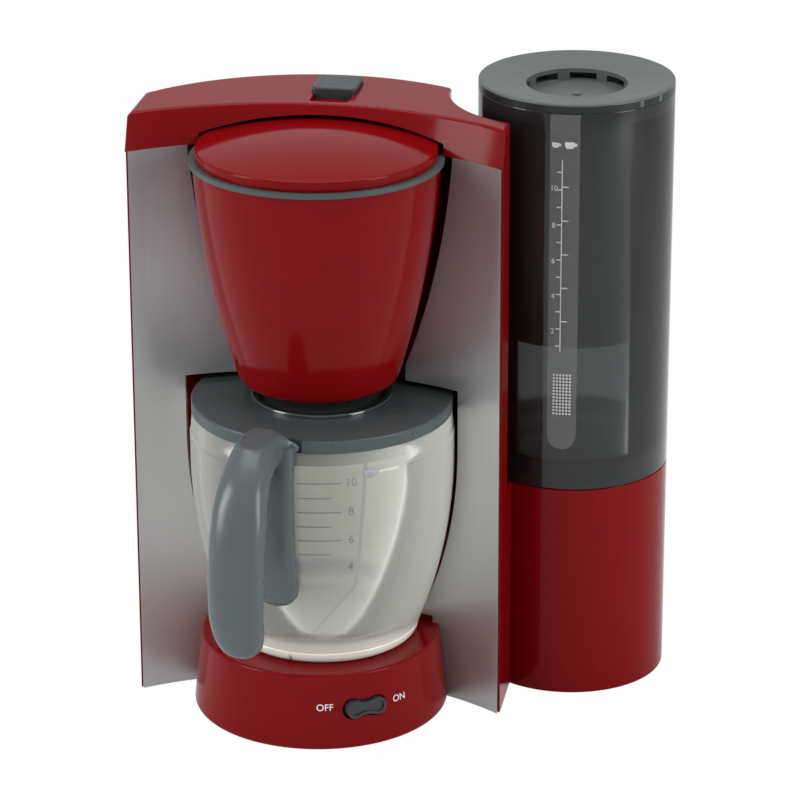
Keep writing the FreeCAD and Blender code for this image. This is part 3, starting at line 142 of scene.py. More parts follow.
soft_lamp("lamp_left", (-1.02, -0.55, 0.58), (0.0, 0.0, 0.1), 0.45, 0.9, 10.5)
soft_lamp("lamp_right", (1.12, -0.42, 0.50), (0.05, 0.0, 0.1), 0.45, 0.9, 9)
soft_lamp("lamp_top", (0.0, 0.15, 1.1), (0.0, 0.0, 0.1), 0.9, 0.7, 6.5)


# Red mouldings: glossy red plastic with a faint orange-peel skin. The body, its cap, the foot and
# the base of the tank are injection moulded shells, screwed together from below.

def moulded_plastic(name, colour, shade, roughness, grain, specular=0.3):
    """Moulded plastic: clouded colour, uneven gloss and a fine skin, on Object coordinates."""
    material = bpy.data.materials.new(name)
    tree, output = shader_tree(material)
    place = add_node(tree, "TexCoord").outputs["Object"]
    clouds = add_node(tree, "TexNoise", {"Vector": place, "Scale": 26.0, "Detail": 4.0, "Roughness": 0.55})
    tone = add_node(tree, "Mix", {"Factor": clouds.outputs["Fac"], "A": colour, "B": shade}, data_type="RGBA")
    smears = add_node(tree, "TexNoise", {"Vector": place, "Scale": 90.0, "Detail": 3.0, "Roughness": 0.6})
    gloss = add_node(tree, "MapRange", {"Value": smears.outputs["Fac"], "From Min": 0.3, "From Max": 0.7,
                                        "To Min": roughness * 0.85, "To Max": roughness * 1.2})
    skin = add_node(tree, "TexNoise", {"Vector": place, "Scale": 700.0, "Detail": 1.0})
    bump = add_node(tree, "Bump", {"Height": skin.outputs["Fac"], "Strength": grain, "Distance": 0.0001})
    surface = add_node(tree, "BsdfPrincipled", {
        "Base Color": tone.outputs[2], "Roughness": gloss.outputs[0], "Normal": bump.outputs[0],
        "Specular IOR Level": specular})
    tree.links.new(surface.outputs[0], output.inputs["Surface"])
    return material


def add_piece(name, mesh, material, body, slot, *nodes, sharp=38):
    """A finished piece that rides on a body and stands for the CAD nodes that are named."""
    mesh.shade_smooth()
    mesh.set_sharp_from_angle(angle=radians(sharp))
    mesh.materials.clear()
    mesh.materials.append(material)
    piece = bpy.data.objects.new(name, mesh)
    scene.collection.objects.link(piece)
    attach(piece, body)
    if nodes:
        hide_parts(*nodes)
    return piece


def moulding(node_name, material, body, slot, edge, edge_material=None):
    """The shape of a CAD node with its sharp edges rounded, as a moulded or stamped piece has them."""
    weld_gap, flat_angle, sharp_angle, front_share = 0.000002, radians(0.2), radians(35), 0.6
    shape = bmesh.new()
    shape.from_mesh(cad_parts[node_name].data)
    bmesh.ops.remove_doubles(shape, verts=shape.verts, dist=weld_gap)
    bmesh.ops.dissolve_limit(shape, angle_limit=flat_angle, verts=shape.verts, edges=shape.edges)
    sharp = [line for line in shape.edges
             if len(line.link_faces) == 2 and line.calc_face_angle() > sharp_angle]
    bmesh.ops.bevel(shape, geom=sharp, offset=edge, segments=2, profile=0.5, affect="EDGES",
                    clamp_overlap=True)
    mesh = bpy.data.meshes.new(node_name + "_moulding")
    shape.to_mesh(mesh)
    shape.free()
    if "custom_normal" in mesh.attributes:
        mesh.attributes.remove(mesh.attributes["custom_normal"])
    piece = add_piece(node_name + "_moulding", mesh, material, body, slot, node_name)
    flats = piece.modifiers.new("flat_faces", "WEIGHTED_NORMAL")
    flats.keep_sharp = True
    if edge_material:
        mesh.materials.append(edge_material)
        for face in mesh.polygons:
            face.material_index = 1 if abs(face.normal.y) < front_share else 0
    return piece


def plain_node(name, material):
    """A CAD node that keeps its own shape and gets its material."""
    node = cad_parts[name]
    node.data.materials.clear()
    node.data.materials.append(material)


red_plastic = moulded_plastic("red_plastic", (0.182, 0.0018, 0.003), (0.162, 0.0015, 0.0026),
                              0.12, 0.04, 0.10)
moulding("housing_shell", red_plastic, "housing", "red_plastic", 0.0004)
for name in ("top_cap", "base_foot", "tank_base"):
    moulding(name, red_plastic, "housing", "red_plastic", 0.0003)


# Front panels: thin silver sheets on the hollow front of the body, brushed upwards, with a bright
# cut edge. Each is bent to the face and trimmed round the jug's and the filter cup's hollows.

def brushed_silver(name, dark, light, roughness):
    """Satin silver with fine upright brushing, slow changes of tone, and painted light: lighter low down,
    darker at the top.
    """
    material = bpy.data.materials.new(name)
    tree, output = shader_tree(material)
    place = add_node(tree, "TexCoord").outputs["Object"]
    stretch = add_node(tree, "Mapping", {"Vector": place, "Scale": (900.0, 900.0, 9.0)})
    brushing = add_node(tree, "TexNoise", {"Vector": stretch.outputs[0], "Scale": 1.0, "Detail": 5.0,
                                           "Roughness": 0.7})
    clouds = add_node(tree, "TexNoise", {"Vector": place, "Scale": 14.0, "Detail": 3.0})
    height = add_node(tree, "SeparateXYZ", {"Vector": place}).outputs["Z"]
    # Painted light and shade: the tone is lighter towards the bottom and darker towards the top.
    painted_light_by_height = add_node(tree, "MapRange", {"Value": height, "From Min": 0.19, "From Max": 0.10, "To Min": -0.35,
                                       "To Max": 0.65})
    share = add_node(tree, "Math", {0: clouds.outputs["Fac"], 1: painted_light_by_height.outputs[0]}, operation="ADD",
                     use_clamp=True)
    tone = add_node(tree, "Mix", {"Factor": share.outputs[0], "A": dark, "B": light}, data_type="RGBA")
    gloss = add_node(tree, "MapRange", {"Value": brushing.outputs["Fac"], "To Min": roughness * 0.8,
                                        "To Max": roughness * 1.2})
    bump = add_node(tree, "Bump", {"Height": brushing.outputs["Fac"], "Strength": 0.12, "Distance": 0.0002})
    surface = add_node(tree, "BsdfPrincipled", {
        "Base Color": tone.outputs[2], "Metallic": 0.75, "Roughness": gloss.outputs[0],
        "Normal": bump.outputs[0]})
    tree.links.new(surface.outputs[0], output.inputs["Surface"])
    return material


silver_sheet = brushed_silver("silver_sheet", (0.31, 0.315, 0.325), (0.50, 0.50, 0.51), 0.40)
cut_edge = brushed_silver("cut_edge", (0.66, 0.66, 0.67), (0.78, 0.78, 0.79), 0.22)
moulding("front_panel_left", silver_sheet, "housing", "silver_sheet", 0.0002, cut_edge)
moulding("front_panel_right", silver_sheet, "housing", "silver_sheet", 0.0002, cut_edge)
moulding("hot_plate", silver_sheet, "housing", "plate_metal", 0.0002)


# Filter cup: a bulging red cup, moulded in one with a flat rounded bottom and a drip hole. It
# hangs by its grey ring from the swing hinge under the cap.

def bowed(start, end, bow, steps=12):
    """Corners along an arc between two places. A positive bow turns to the left."""
    first, last = Vector(start), Vector(end)
    chord = last - first
    side = Vector((-chord.y, chord.x)).normalized()
    half = asin(chord.length / 2 / abs(bow))
    turn = 1 if bow > 0 else -1
    centre = (first + last) / 2 + side * abs(bow) * cos(half) * turn
    spoke = first - centre
    return [(*(centre + Matrix.Rotation(2 * half * turn * step / steps, 2) @ spoke), 0)
            for step in range(1, steps)]


def rounded(corners, steps=5):
    """An outline in mm from corners (across, up, round), each corner rounded by its own radius."""
    most_of_side = 0.49
    points = []
    for index, (across, up, radius) in enumerate(corners):
        here = Vector((across, up))
        back = Vector(corners[index - 1][:2]) - here
        ahead = Vector(corners[(index + 1) % len(corners)][:2]) - here
        if not radius:
            points.append(here)
            continue
        half = back.angle(ahead) / 2
        reach = min(radius / tan(half), most_of_side * back.length, most_of_side * ahead.length)
        centre = here + (back.normalized() + ahead.normalized()).normalized() * reach / cos(half)
        start = here + back.normalized() * reach - centre
        sweep = pi - 2 * half
        turn = 1 if back.x * ahead.y - back.y * ahead.x < 0 else -1
        points += [centre + Matrix.Rotation(turn * sweep * step / steps, 2) @ start
                   for step in range(steps + 1)]
    return points


def turned(name, corners, centre, segments=192):
    """A turned piece: an outline in mm swept round an upright axis."""
    points = rounded(corners)
    on_axis, weld_gap = 0.0001, 0.000001
    shape = bmesh.new()
    rings = []
    for segment in range(segments):
        angle = 2 * pi * segment / segments
        rings.append([shape.verts.new(
            Vector((centre[0] + across * cos(angle), centre[1] + across * sin(angle), up)) * MM)
            for across, up in points])
    for segment, ring in enumerate(rings):
        following = rings[(segment + 1) % segments]
        for index in range(len(points)):
            after = (index + 1) % len(points)
            if points[index][0] > on_axis or points[after][0] > on_axis:
                shape.faces.new((ring[index], following[index], following[after], ring[after]))
    bmesh.ops.remove_doubles(shape, verts=shape.verts, dist=weld_gap)
    bmesh.ops.recalc_face_normals(shape, faces=shape.faces)
    mesh = bpy.data.meshes.new(name)
    shape.to_mesh(mesh)
    shape.free()
    return mesh


cup_axis = (0, 1.9)
cup_hole, cup_flat, cup_bulge = 5.4, 20.5, 300.0
cup_wall, fine_turns = 1.8, 256
cup_foot, cup_top = 113.0, 187.7
cup_floor = cup_foot + cup_wall
outer_heel, outer_rim = (26.3, cup_foot + 3.0), (39.8, cup_top)
inner_heel, inner_rim = (24.5, cup_foot + 3.9), (38.0, cup_top)
cup_skin = [
    (cup_hole, cup_foot, 0.2), (cup_flat, cup_foot, 0), *bowed((cup_flat, cup_foot), outer_heel, 6.4),
    (*outer_heel, 0), *bowed(outer_heel, outer_rim, cup_bulge, 32), (*outer_rim, 0.3), (*inner_rim, 0.3),
    *bowed(inner_rim, inner_heel, cup_wall - cup_bulge, 32), (*inner_heel, 0),
    *bowed(inner_heel, (cup_flat, cup_floor), -4.6), (cup_flat, cup_floor, 0), (cup_hole, cup_floor, 0.2)]
cup_mesh = turned("filter_cup_moulding", cup_skin, cup_axis, fine_turns)
add_piece("filter_cup_moulding", cup_mesh, red_plastic, "filter_holder", "red_plastic", "filter_cup")

# Grey ring and its lid: the ring clips on the cup's rim and carries the hinge's ear, and the red
# domed lid sits on it. The lid's shoulder is rounded and its dome is shallow.

grey_plastic = moulded_plastic("grey_plastic", (0.060, 0.077, 0.078), (0.052, 0.068, 0.069), 0.30, 0.0)
moulding("filter_rim_ring", grey_plastic, "filter_holder", "grey_plastic", 0.0002)
lid_radius, lid_inside, lid_wall = 38.8, 37.0, 1.8
lid_foot, lid_shoulder, lid_crown = 189.2, 192.6, 197.0
lid_skin = [
    (lid_inside, lid_foot, 0.2), (lid_radius, lid_foot, 0.5), (lid_radius, lid_shoulder, 1.6),
    *bowed((lid_radius, lid_shoulder), (0.0, lid_crown), 173.0, 32), (0.0, lid_crown, 0),
    (0.0, lid_crown - lid_wall, 0),
    *bowed((0.0, lid_crown - lid_wall), (lid_inside, lid_shoulder - lid_wall), -157.0, 32),
    (lid_inside, lid_shoulder - lid_wall, 0.6)]
dome_mesh = turned("filter_lid_dome", lid_skin, cup_axis, fine_turns)
add_piece("filter_lid_dome", dome_mesh, red_plastic, "filter_holder", "lid_plastic", "filter_lid")

# Basket, outlet, covers and small hidden pieces: black mouldings, rubber feet, and steel pins,
# screws and spring, which show when the cup swings out or the toy lies on its back.

black_plastic = moulded_plastic("black_plastic", (0.016, 0.019, 0.020), (0.012, 0.015, 0.016), 0.32, 0.05)
for name in ("filter_basket", "drip_outlet", "switch_cradle", "body_cover", "foot_cover", "tank_cover"):
    plain_node(name, black_plastic)
rubber = moulded_plastic("rubber", (0.012, 0.012, 0.012), (0.02, 0.02, 0.02), 0.75, 0.5)
plain_node("rubber_feet", rubber)


def turned_steel():
    """Bright steel with fine rings left by turning."""
    material = bpy.data.materials.new("steel")
    tree, output = shader_tree(material)
    place = add_node(tree, "TexCoord").outputs["Object"]
    rings = add_node(tree, "TexNoise", {"Vector": place, "Scale": 800.0, "Detail": 3.0})
    gloss = add_node(tree, "MapRange", {"Value": rings.outputs["Fac"], "To Min": 0.2, "To Max": 0.35})
    surface = add_node(tree, "BsdfPrincipled", {
        "Base Color": (0.55, 0.55, 0.56), "Metallic": 1.0, "Roughness": gloss.outputs[0]})
    tree.links.new(surface.outputs[0], output.inputs["Surface"])
    return material


steel = turned_steel()
for name in ("hinge_pin", "switch_pin", "cover_screws", "button_spring"):
    plain_node(name, steel)

# Button and rocker: satin grey mouldings, the button in its well in the cap and the rocker on its
# pin in the foot. The rocker's dish has a small round hollow at its right end, which is left out here.

button_grey = moulded_plastic("button_grey", (0.034, 0.038, 0.040), (0.029, 0.033, 0.035), 0.32, 0.04)
moulding("release_button", button_grey, "release_button", "grey_plastic", 0.0006)
moulding("switch_rocker", button_grey, "power_switch", "grey_plastic", 0.0003)


# Switch words: OFF at the left and ON at the right of the rocker, printed in white on the foot.
# Each letter is a thin raised print that follows the drafted round wall.

def printed_ink(name, colour):
    """Opaque printing ink, a little uneven in colour."""
    darkest = 0.8
    material = bpy.data.materials.new(name)
    tree, output = shader_tree(material)
    place = add_node(tree, "TexCoord").outputs["Object"]
    patches = add_node(tree, "TexNoise", {"Vector": place, "Scale": 900.0, "Detail": 3.0})
    tone = add_node(tree, "Mix", {"Factor": patches.outputs["Fac"], "A": colour,
                                  "B": tuple(darkest * part for part in colour)}, data_type="RGBA")
    surface = add_node(tree, "BsdfPrincipled", {"Base Color": tone.outputs[2], "Roughness": 0.5})
    tree.links.new(surface.outputs[0], output.inputs["Surface"])
    return material


print_half = 0.04


def flat_words(words, tall):
    """The outline of some words as a thin flat mesh in mm, centred, its face towards +Z."""
    size_of_capitals = 1.4
    data = bpy.data.curves.new("words", "FONT")
    data.body = words
    data.size = tall * size_of_capitals
    data.align_x = "CENTER"
    data.align_y = "CENTER"
    data.extrude = print_half
    writer = bpy.data.objects.new("words", data)
    scene.collection.objects.link(writer)
    evaluated = writer.evaluated_get(bpy.context.evaluated_depsgraph_get())
    mesh = bpy.data.meshes.new_from_object(evaluated)
    bpy.data.objects.remove(writer)
    return mesh


def wrapped(mesh, axis, radius_at, angle, height, lift=0.05):
    """Bends a flat mesh in mm round an upright axis, facing outwards, at an angle from -Y."""
    weld_gap, long_side = 0.0001, 1.0
    shape = bmesh.new()
    shape.from_mesh(mesh)
    bmesh.ops.remove_doubles(shape, verts=shape.verts, dist=weld_gap)
    longest = [line for line in shape.edges if line.calc_length() > long_side]
    bmesh.ops.subdivide_edges(shape, edges=longest, cuts=3, use_grid_fill=False)
    bmesh.ops.triangulate(shape, faces=shape.faces)
    for point in shape.verts:
        up = height + point.co.y
        radius = radius_at(up) + lift + point.co.z
        turn = angle + point.co.x / radius_at(height)
        point.co = Vector((axis[0] + radius * sin(turn), axis[1] - radius * cos(turn), up)) * MM
    bmesh.ops.recalc_face_normals(shape, faces=shape.faces)
    result = bpy.data.meshes.new(mesh.name)
    shape.to_mesh(result)
    shape.free()
    bpy.data.meshes.remove(mesh)
    return result


def foot_wall(up):
    """Radius of the foot's drafted wall at a height, in mm."""
    widest, narrowest, bottom, tall = 42.2, 39.6, 0.5, 25.7
    return widest - (widest - narrowest) * (up - bottom) / tall


white_ink = printed_ink("white_ink", (0.82, 0.82, 0.80))
word_tall, foot_axis = 2.3, (0, 0)
for words, name, place, height in (("OFF", "word_off", 12.6, 15.2), ("ON", "word_on", 49.5, 14.6)):
    mesh = wrapped(flat_words(words, word_tall), foot_axis, foot_wall, radians(place), height)
    add_piece(name, mesh, white_ink, "housing", "silver_sheet")


# Jug: blown from a milky clear plastic that glows where the light comes through it. A mould seam
# runs down its back and across its bottom, and a lilac tint lies in the fold of its base.

jug_axis = (1.3, 0)


def clear_plastic(name, colour, milk, roughness, milk_colour):
    """Clear plastic: it tints what lies behind it, a share of it is milky, and its skin reflects."""
    material = bpy.data.materials.new(name)
    tree, output = shader_tree(material)
    place = add_node(tree, "TexCoord").outputs["Object"]
    clouds = add_node(tree, "TexNoise", {"Vector": place, "Scale": 30.0, "Detail": 3.0})
    gloss = add_node(tree, "MapRange", {"Value": clouds.outputs["Fac"], "To Min": roughness * 0.8,
                                        "To Max": roughness * 1.2})
    clear = add_node(tree, "BsdfTransparent", {"Color": colour})
    body = add_node(tree, "BsdfPrincipled", {"Base Color": milk_colour, "Roughness": 0.5,
                                             "Specular IOR Level": 0.1})
    mix = add_node(tree, "MixShader", {0: milk, 1: clear.outputs[0], 2: body.outputs[0]})
    shine = add_node(tree, "BsdfGlossy", {"Color": (0.9, 0.9, 0.9), "Roughness": gloss.outputs[0]})
    facing = add_node(tree, "Fresnel", {"IOR": 1.42})
    skin = add_node(tree, "MixShader", {0: facing.outputs[0], 1: mix.outputs[0], 2: shine.outputs[0]})
    tree.links.new(skin.outputs[0], output.inputs["Surface"])
    return material, tree, mix, body, place


def band_mask(tree, value, low, high, soft):
    """One inside a span of a value and nought outside, with soft ends."""
    rise = add_node(tree, "MapRange", {"Value": value, "From Min": low - soft, "From Max": low + soft})
    fall = add_node(tree, "MapRange", {"Value": value, "From Min": high - soft, "From Max": high + soft,
                                       "To Min": 1.0, "To Max": 0.0})
    return add_node(tree, "Math", {0: rise.outputs[0], 1: fall.outputs[0]}, operation="MULTIPLY").outputs[0]


def jug_plastic():
    """The jug's plastic: milkier at its back, with the seam and the lilac fold."""
    cream, lilac_tone, seam_tone = (0.95, 0.96, 0.86), (0.38, 0.32, 0.52), (0.16, 0.16, 0.165)
    seam_turn = radians(80)
    material, tree, mix, body, place = clear_plastic("clear_jug", (0.99, 0.99, 0.97), 0.3, 0.07, cream)
    parts = add_node(tree, "SeparateXYZ", {"Vector": place}).outputs
    backness = add_node(tree, "MapRange", {"Value": parts["Y"], "From Min": -0.042, "From Max": 0.030,
                                           "To Min": 0.12, "To Max": 0.90})
    plane = add_node(tree, "VectorMath", {0: place, 1: (sin(seam_turn), -cos(seam_turn), 0)},
                     operation="DOT_PRODUCT")
    off_plane = add_node(tree, "Math", {0: plane.outputs["Value"], 1: jug_axis[0] * MM * sin(seam_turn)},
                         operation="SUBTRACT")
    away = add_node(tree, "Math", {0: off_plane.outputs[0]}, operation="ABSOLUTE")
    seam = add_node(tree, "MapRange", {"Value": away.outputs[0], "From Min": 0.0004, "From Max": 0.0009,
                                       "To Min": 1.0, "To Max": 0.0})
    low = add_node(tree, "MapRange", {"Value": parts["Z"], "From Min": 0.085, "From Max": 0.092,
                                      "To Min": 1.0, "To Max": 0.0})
    floor = add_node(tree, "MapRange", {"Value": parts["Z"], "From Min": 0.0285, "From Max": 0.0295,
                                        "To Min": 1.0, "To Max": 0.0})
    back = add_node(tree, "MapRange", {"Value": parts["Y"], "From Min": 0.001, "From Max": 0.003})
    lies = add_node(tree, "Math", {0: floor.outputs[0], 1: back.outputs[0]}, operation="MAXIMUM")
    seam_low = add_node(tree, "Math", {0: seam.outputs[0], 1: low.outputs[0]}, operation="MULTIPLY")
    seam_here = add_node(tree, "Math", {0: seam_low.outputs[0], 1: lies.outputs[0]}, operation="MULTIPLY")
    fold = band_mask(tree, parts["Z"], 0.0315, 0.0365, 0.0014)
    rear = add_node(tree, "MapRange", {"Value": parts["Y"], "From Min": 0.004, "From Max": 0.018})
    lilac = add_node(tree, "Math", {0: fold, 1: rear.outputs[0]}, operation="MULTIPLY")
    with_lilac = add_node(tree, "Mix", {"Factor": lilac.outputs[0], "A": cream, "B": lilac_tone},
                          data_type="RGBA")
    seamed = add_node(tree, "Math", {0: seam_here.outputs[0], 1: 0.7}, operation="MULTIPLY")
    with_seam = add_node(tree, "Mix", {"Factor": seamed.outputs[0], "A": with_lilac.outputs[2],
                                       "B": seam_tone}, data_type="RGBA")
    tree.links.new(with_seam.outputs[2], body.inputs["Base Color"])
    marks = add_node(tree, "Math", {0: seam_here.outputs[0], 1: lilac.outputs[0]}, operation="MAXIMUM")
    foot = add_node(tree, "MapRange", {"Value": parts["Z"], "From Min": 0.0305, "From Max": 0.0390,
                                       "To Min": 0.85, "To Max": 0.0})
    thick = add_node(tree, "Math", {0: backness.outputs[0], 1: foot.outputs[0]}, operation="MAXIMUM")
    milk = add_node(tree, "Mix", {"Factor": marks.outputs[0], "A": thick.outputs[0], "B": 0.94})
    tree.links.new(milk.outputs[0], mix.inputs[0])
    return material


jug_foot = 26.3
jug_shoulder, jug_neck, jug_rim = jug_foot + 64.0, jug_foot + 74.0, jug_foot + 78.4
jug_radius, jug_inside, jug_floor = 43.2, 41.6, jug_foot + 1.8
heel_bottom, heel_top, step_top = (29.3, jug_foot), (31.3, jug_foot + 2.4), (31.95, jug_foot + 4.6)
bend_top, bend_bottom = (29.7, jug_foot + 3.2), (28.3, jug_floor)
jug_skin = [
    (0.0, jug_foot, 0), (*heel_bottom, 0), *bowed(heel_bottom, heel_top, 3.2, 6), (*heel_top, 0),
    (31.55, jug_foot + 3.6, 0.2), (31.35, jug_foot + 4.0, 0.2), (*step_top, 0.2),
    *bowed(step_top, (jug_radius, jug_shoulder), 159.0, 32), (jug_radius, jug_shoulder, 0),
    (jug_radius, jug_neck - 3.2, 0.4), (42.8, jug_neck - 2.6, 0.4), (42.8, jug_neck, 1.5),
    (42.3, jug_rim, 0.4), (40.7, jug_rim, 0.4), (41.2, jug_neck, 1.5), (jug_inside, jug_neck - 3.0, 0.4),
    (jug_inside, jug_shoulder, 0), *bowed((jug_inside, jug_shoulder), bend_top, -157.4, 32),
    (*bend_top, 0), *bowed(bend_top, bend_bottom, -1.6, 4), (*bend_bottom, 0), (0.0, jug_floor, 0)]
clear_jug = jug_plastic()
jug_mesh = turned("jug_wall", jug_skin, jug_axis, fine_turns)
add_piece("jug_wall", jug_mesh, clear_jug, "jug", "clear_jug", "jug_body")


# Jug scale: short and long lines with plain numbers, printed on the front of the jug beside the
# leg of its handle. The lines are laid out by geometry nodes, two for every number.

def jug_wall_at(up):
    """Radius of the jug's outer wall at a height, in mm."""
    heel_height, bowed_height, heel_radius, spread, bulge = 2.4, 61.6, 31.3, 11.9, 3.1
    share = (up - jug_foot - heel_height) / bowed_height
    return heel_radius + spread * share + 4 * bulge * share * (1 - share)


def mark_rows(name, columns, rows, column_step, row_step, mark_wide, mark_tall, long_wide=0.0):
    """A flat mesh in mm with rows of small bars, every second row with a longer bar if asked."""
    tree = bpy.data.node_groups.new(name, "GeometryNodeTree")
    for socket, kind in (("Geometry", "NodeSocketGeometry"), ("Mark wide", "NodeSocketFloat"),
                         ("Mark tall", "NodeSocketFloat"), ("Longer by", "NodeSocketFloat"),
                         ("Column step", "NodeSocketFloat"), ("Row step", "NodeSocketFloat"),
                         ("Columns", "NodeSocketInt"), ("Rows", "NodeSocketInt")):
        tree.interface.new_socket(socket, in_out="INPUT", socket_type=kind)
    tree.interface.new_socket("Geometry", in_out="OUTPUT", socket_type="NodeSocketGeometry")
    node = {}
    for label, kind in (
            ("given", "NodeGroupInput"), ("result", "NodeGroupOutput"),
            ("column_line", "GeometryNodeMeshLine"), ("row_line", "GeometryNodeMeshLine"),
            ("fill", "GeometryNodeInstanceOnPoints"), ("bars", "GeometryNodeInstanceOnPoints"),
            ("bar", "GeometryNodeMeshCube"), ("size", "ShaderNodeCombineXYZ"),
            ("column_offset", "ShaderNodeCombineXYZ"), ("row_offset", "ShaderNodeCombineXYZ"),
            ("place", "GeometryNodeInputIndex"), ("parity", "ShaderNodeMath"),
            ("stretch", "ShaderNodeMath"), ("whole", "ShaderNodeMath"),
            ("grow", "ShaderNodeCombineXYZ"), ("half", "ShaderNodeMath"),
            ("start", "ShaderNodeCombineXYZ"), ("aligned", "GeometryNodeTransform"),
            ("finish", "GeometryNodeRealizeInstances"), ("paint", "GeometryNodeSetMaterial")):
        node[label] = tree.nodes.new(kind)
    given = node["given"].outputs
    node["parity"].operation = "MODULO"
    node["stretch"].operation = "MULTIPLY"
    node["whole"].operation = "ADD"
    node["half"].operation = "MULTIPLY"
    for source, target in (
            (given["Mark wide"], node["size"].inputs["X"]), (given["Mark tall"], node["size"].inputs["Y"]),
            (node["size"].outputs[0], node["bar"].inputs["Size"]),
            (given["Column step"], node["column_offset"].inputs["X"]),
            (given["Row step"], node["row_offset"].inputs["Y"]),
            (node["column_offset"].outputs[0], node["column_line"].inputs["Offset"]),
            (node["row_offset"].outputs[0], node["row_line"].inputs["Offset"]),
            (given["Columns"], node["column_line"].inputs["Count"]),
            (given["Rows"], node["row_line"].inputs["Count"]),
            (node["place"].outputs[0], node["parity"].inputs[0]),
            (node["parity"].outputs[0], node["stretch"].inputs[0]),
            (given["Longer by"], node["stretch"].inputs[1]),
            (node["stretch"].outputs[0], node["whole"].inputs[0]),
            (node["whole"].outputs[0], node["grow"].inputs["X"]),
            (node["column_line"].outputs[0], node["fill"].inputs["Points"]),
            (given["Mark wide"], node["half"].inputs[0]),
            (node["half"].outputs[0], node["start"].inputs["X"]),
            (node["bar"].outputs["Mesh"], node["aligned"].inputs["Geometry"]),
            (node["start"].outputs[0], node["aligned"].inputs["Translation"]),
            (node["aligned"].outputs[0], node["fill"].inputs["Instance"]),
            (node["row_line"].outputs[0], node["bars"].inputs["Points"]),
            (node["fill"].outputs[0], node["bars"].inputs["Instance"]),
            (node["grow"].outputs[0], node["bars"].inputs["Scale"]),
            (node["bars"].outputs[0], node["finish"].inputs[0]),
            (node["finish"].outputs[0], node["paint"].inputs[0]),
            (node["paint"].outputs[0], node["result"].inputs[0])):
        tree.links.new(source, target)
    node["size"].inputs["Z"].default_value = 2 * print_half
    node["half"].inputs[1].default_value = 0.5
    node["parity"].inputs[1].default_value = 2.0
    node["whole"].inputs[1].default_value = 1.0
    node["grow"].inputs["Y"].default_value = 1.0
    node["grow"].inputs["Z"].default_value = 1.0
    holder = bpy.data.objects.new(name, bpy.data.meshes.new(name))
    scene.collection.objects.link(holder)
    modifier = holder.modifiers.new("rows", "NODES")
    modifier.node_group = tree
    values = {"Mark wide": mark_wide, "Mark tall": mark_tall, "Longer by": long_wide,
              "Column step": column_step, "Row step": row_step, "Columns": columns, "Rows": rows}
    for socket in tree.interface.items_tree:
        if socket.in_out == "INPUT" and socket.name in values:
            modifier[socket.identifier] = values[socket.name]
    evaluated = holder.evaluated_get(bpy.context.evaluated_depsgraph_get())
    mesh = bpy.data.meshes.new_from_object(evaluated)
    bpy.data.objects.remove(holder)
    return mesh


def shifted(mesh, across):
    """The flat mesh moved sideways in its own plane, in mm."""
    mesh.transform(Matrix.Translation((across, 0, 0)))
    return mesh


def cup_mark(wide):
    """A small plain picture of a cup with its handle, flat, in mm."""
    outline = [(-0.5, 0.38), (0.42, 0.38), (0.42, 0.26), (0.66, 0.26), (0.66, -0.02), (0.36, -0.08),
               (0.24, -0.26), (-0.32, -0.26), (-0.46, 0.0)]
    shape = bmesh.new()
    lower = [shape.verts.new((across * wide, up * wide, -print_half)) for across, up in outline]
    upper = [shape.verts.new((across * wide, up * wide, print_half)) for across, up in outline]
    shape.faces.new(lower)
    shape.faces.new(upper)
    for index in range(len(outline)):
        after = (index + 1) % len(outline)
        shape.faces.new((lower[index], lower[after], upper[after], upper[index]))
    mesh = bpy.data.meshes.new("cup_mark")
    shape.to_mesh(mesh)
    shape.free()
    return mesh


scale_ink = printed_ink("scale_ink", (0.20, 0.195, 0.20))
scale_foot, scale_step = 70.0, 4.96
tick_wide, tick_tall, tick_longer = 10.7, 0.40, 0.27
number_tall, number_place = 2.9, radians(23.0)
ticks = mark_rows("jug_scale_lines", 1, 6, 1.0, scale_step, tick_wide, tick_tall, tick_longer)
ticks = wrapped(ticks, jug_axis, jug_wall_at, 0.0, scale_foot)
add_piece("jug_scale_lines", ticks, scale_ink, "jug", "clear_jug")
for number, step in (("4", -1), ("6", 1), ("8", 3), ("10", 5)):
    height = scale_foot + step * scale_step
    mesh = wrapped(flat_words(number, number_tall), jug_axis, jug_wall_at, number_place, height)
    add_piece("jug_number_" + number, mesh, scale_ink, "jug", "clear_jug")
lilac_ink = printed_ink("lilac_ink", (0.42, 0.38, 0.48))
mark_wide, mark_place, mark_height = 4.4, radians(31.5), 96.8
lilac_mark = wrapped(cup_mark(mark_wide), jug_axis, jug_wall_at, mark_place, mark_height)
add_piece("jug_cup_mark", lilac_mark, lilac_ink, "jug", "clear_jug")

# Jug lid and collar: a satin grey lid with a skirt, and the glossy black collar that the filter
# cup drips into.

moulding("jug_lid", grey_plastic, "jug", "grey_plastic", 0.0003)
gloss_black = moulded_plastic("gloss_black", (0.022, 0.028, 0.030), (0.018, 0.022, 0.024), 0.06, 0.0, 0.9)
lid_top = jug_rim + 4.2
collar_top, collar_inside, collar_outside, collar_round = lid_top + 1.4, 20.6, 23.2, 1.2
collar_skin = [(collar_inside, lid_top, 0), (collar_outside, lid_top, 0),
               (collar_outside, collar_top, collar_round), (collar_inside, collar_top, collar_round)]
collar_mesh = turned("jug_collar", collar_skin, jug_axis)
add_piece("jug_collar", collar_mesh, gloss_black, "jug", "gloss_black", "jug_lid_ring")


# Jug handle: a grey moulding that springs from a notch in the lid, widens into the grip and ends
# in a rounded foot. It has a flat for the thumb on its head and a parting ridge along its side.

handle_turn = radians(11)
handle_out = Vector((-sin(handle_turn), -cos(handle_turn), 0))
handle_side = Vector((cos(handle_turn), -sin(handle_turn), 0))
jug_middle = Vector((jug_axis[0], jug_axis[1], 0))
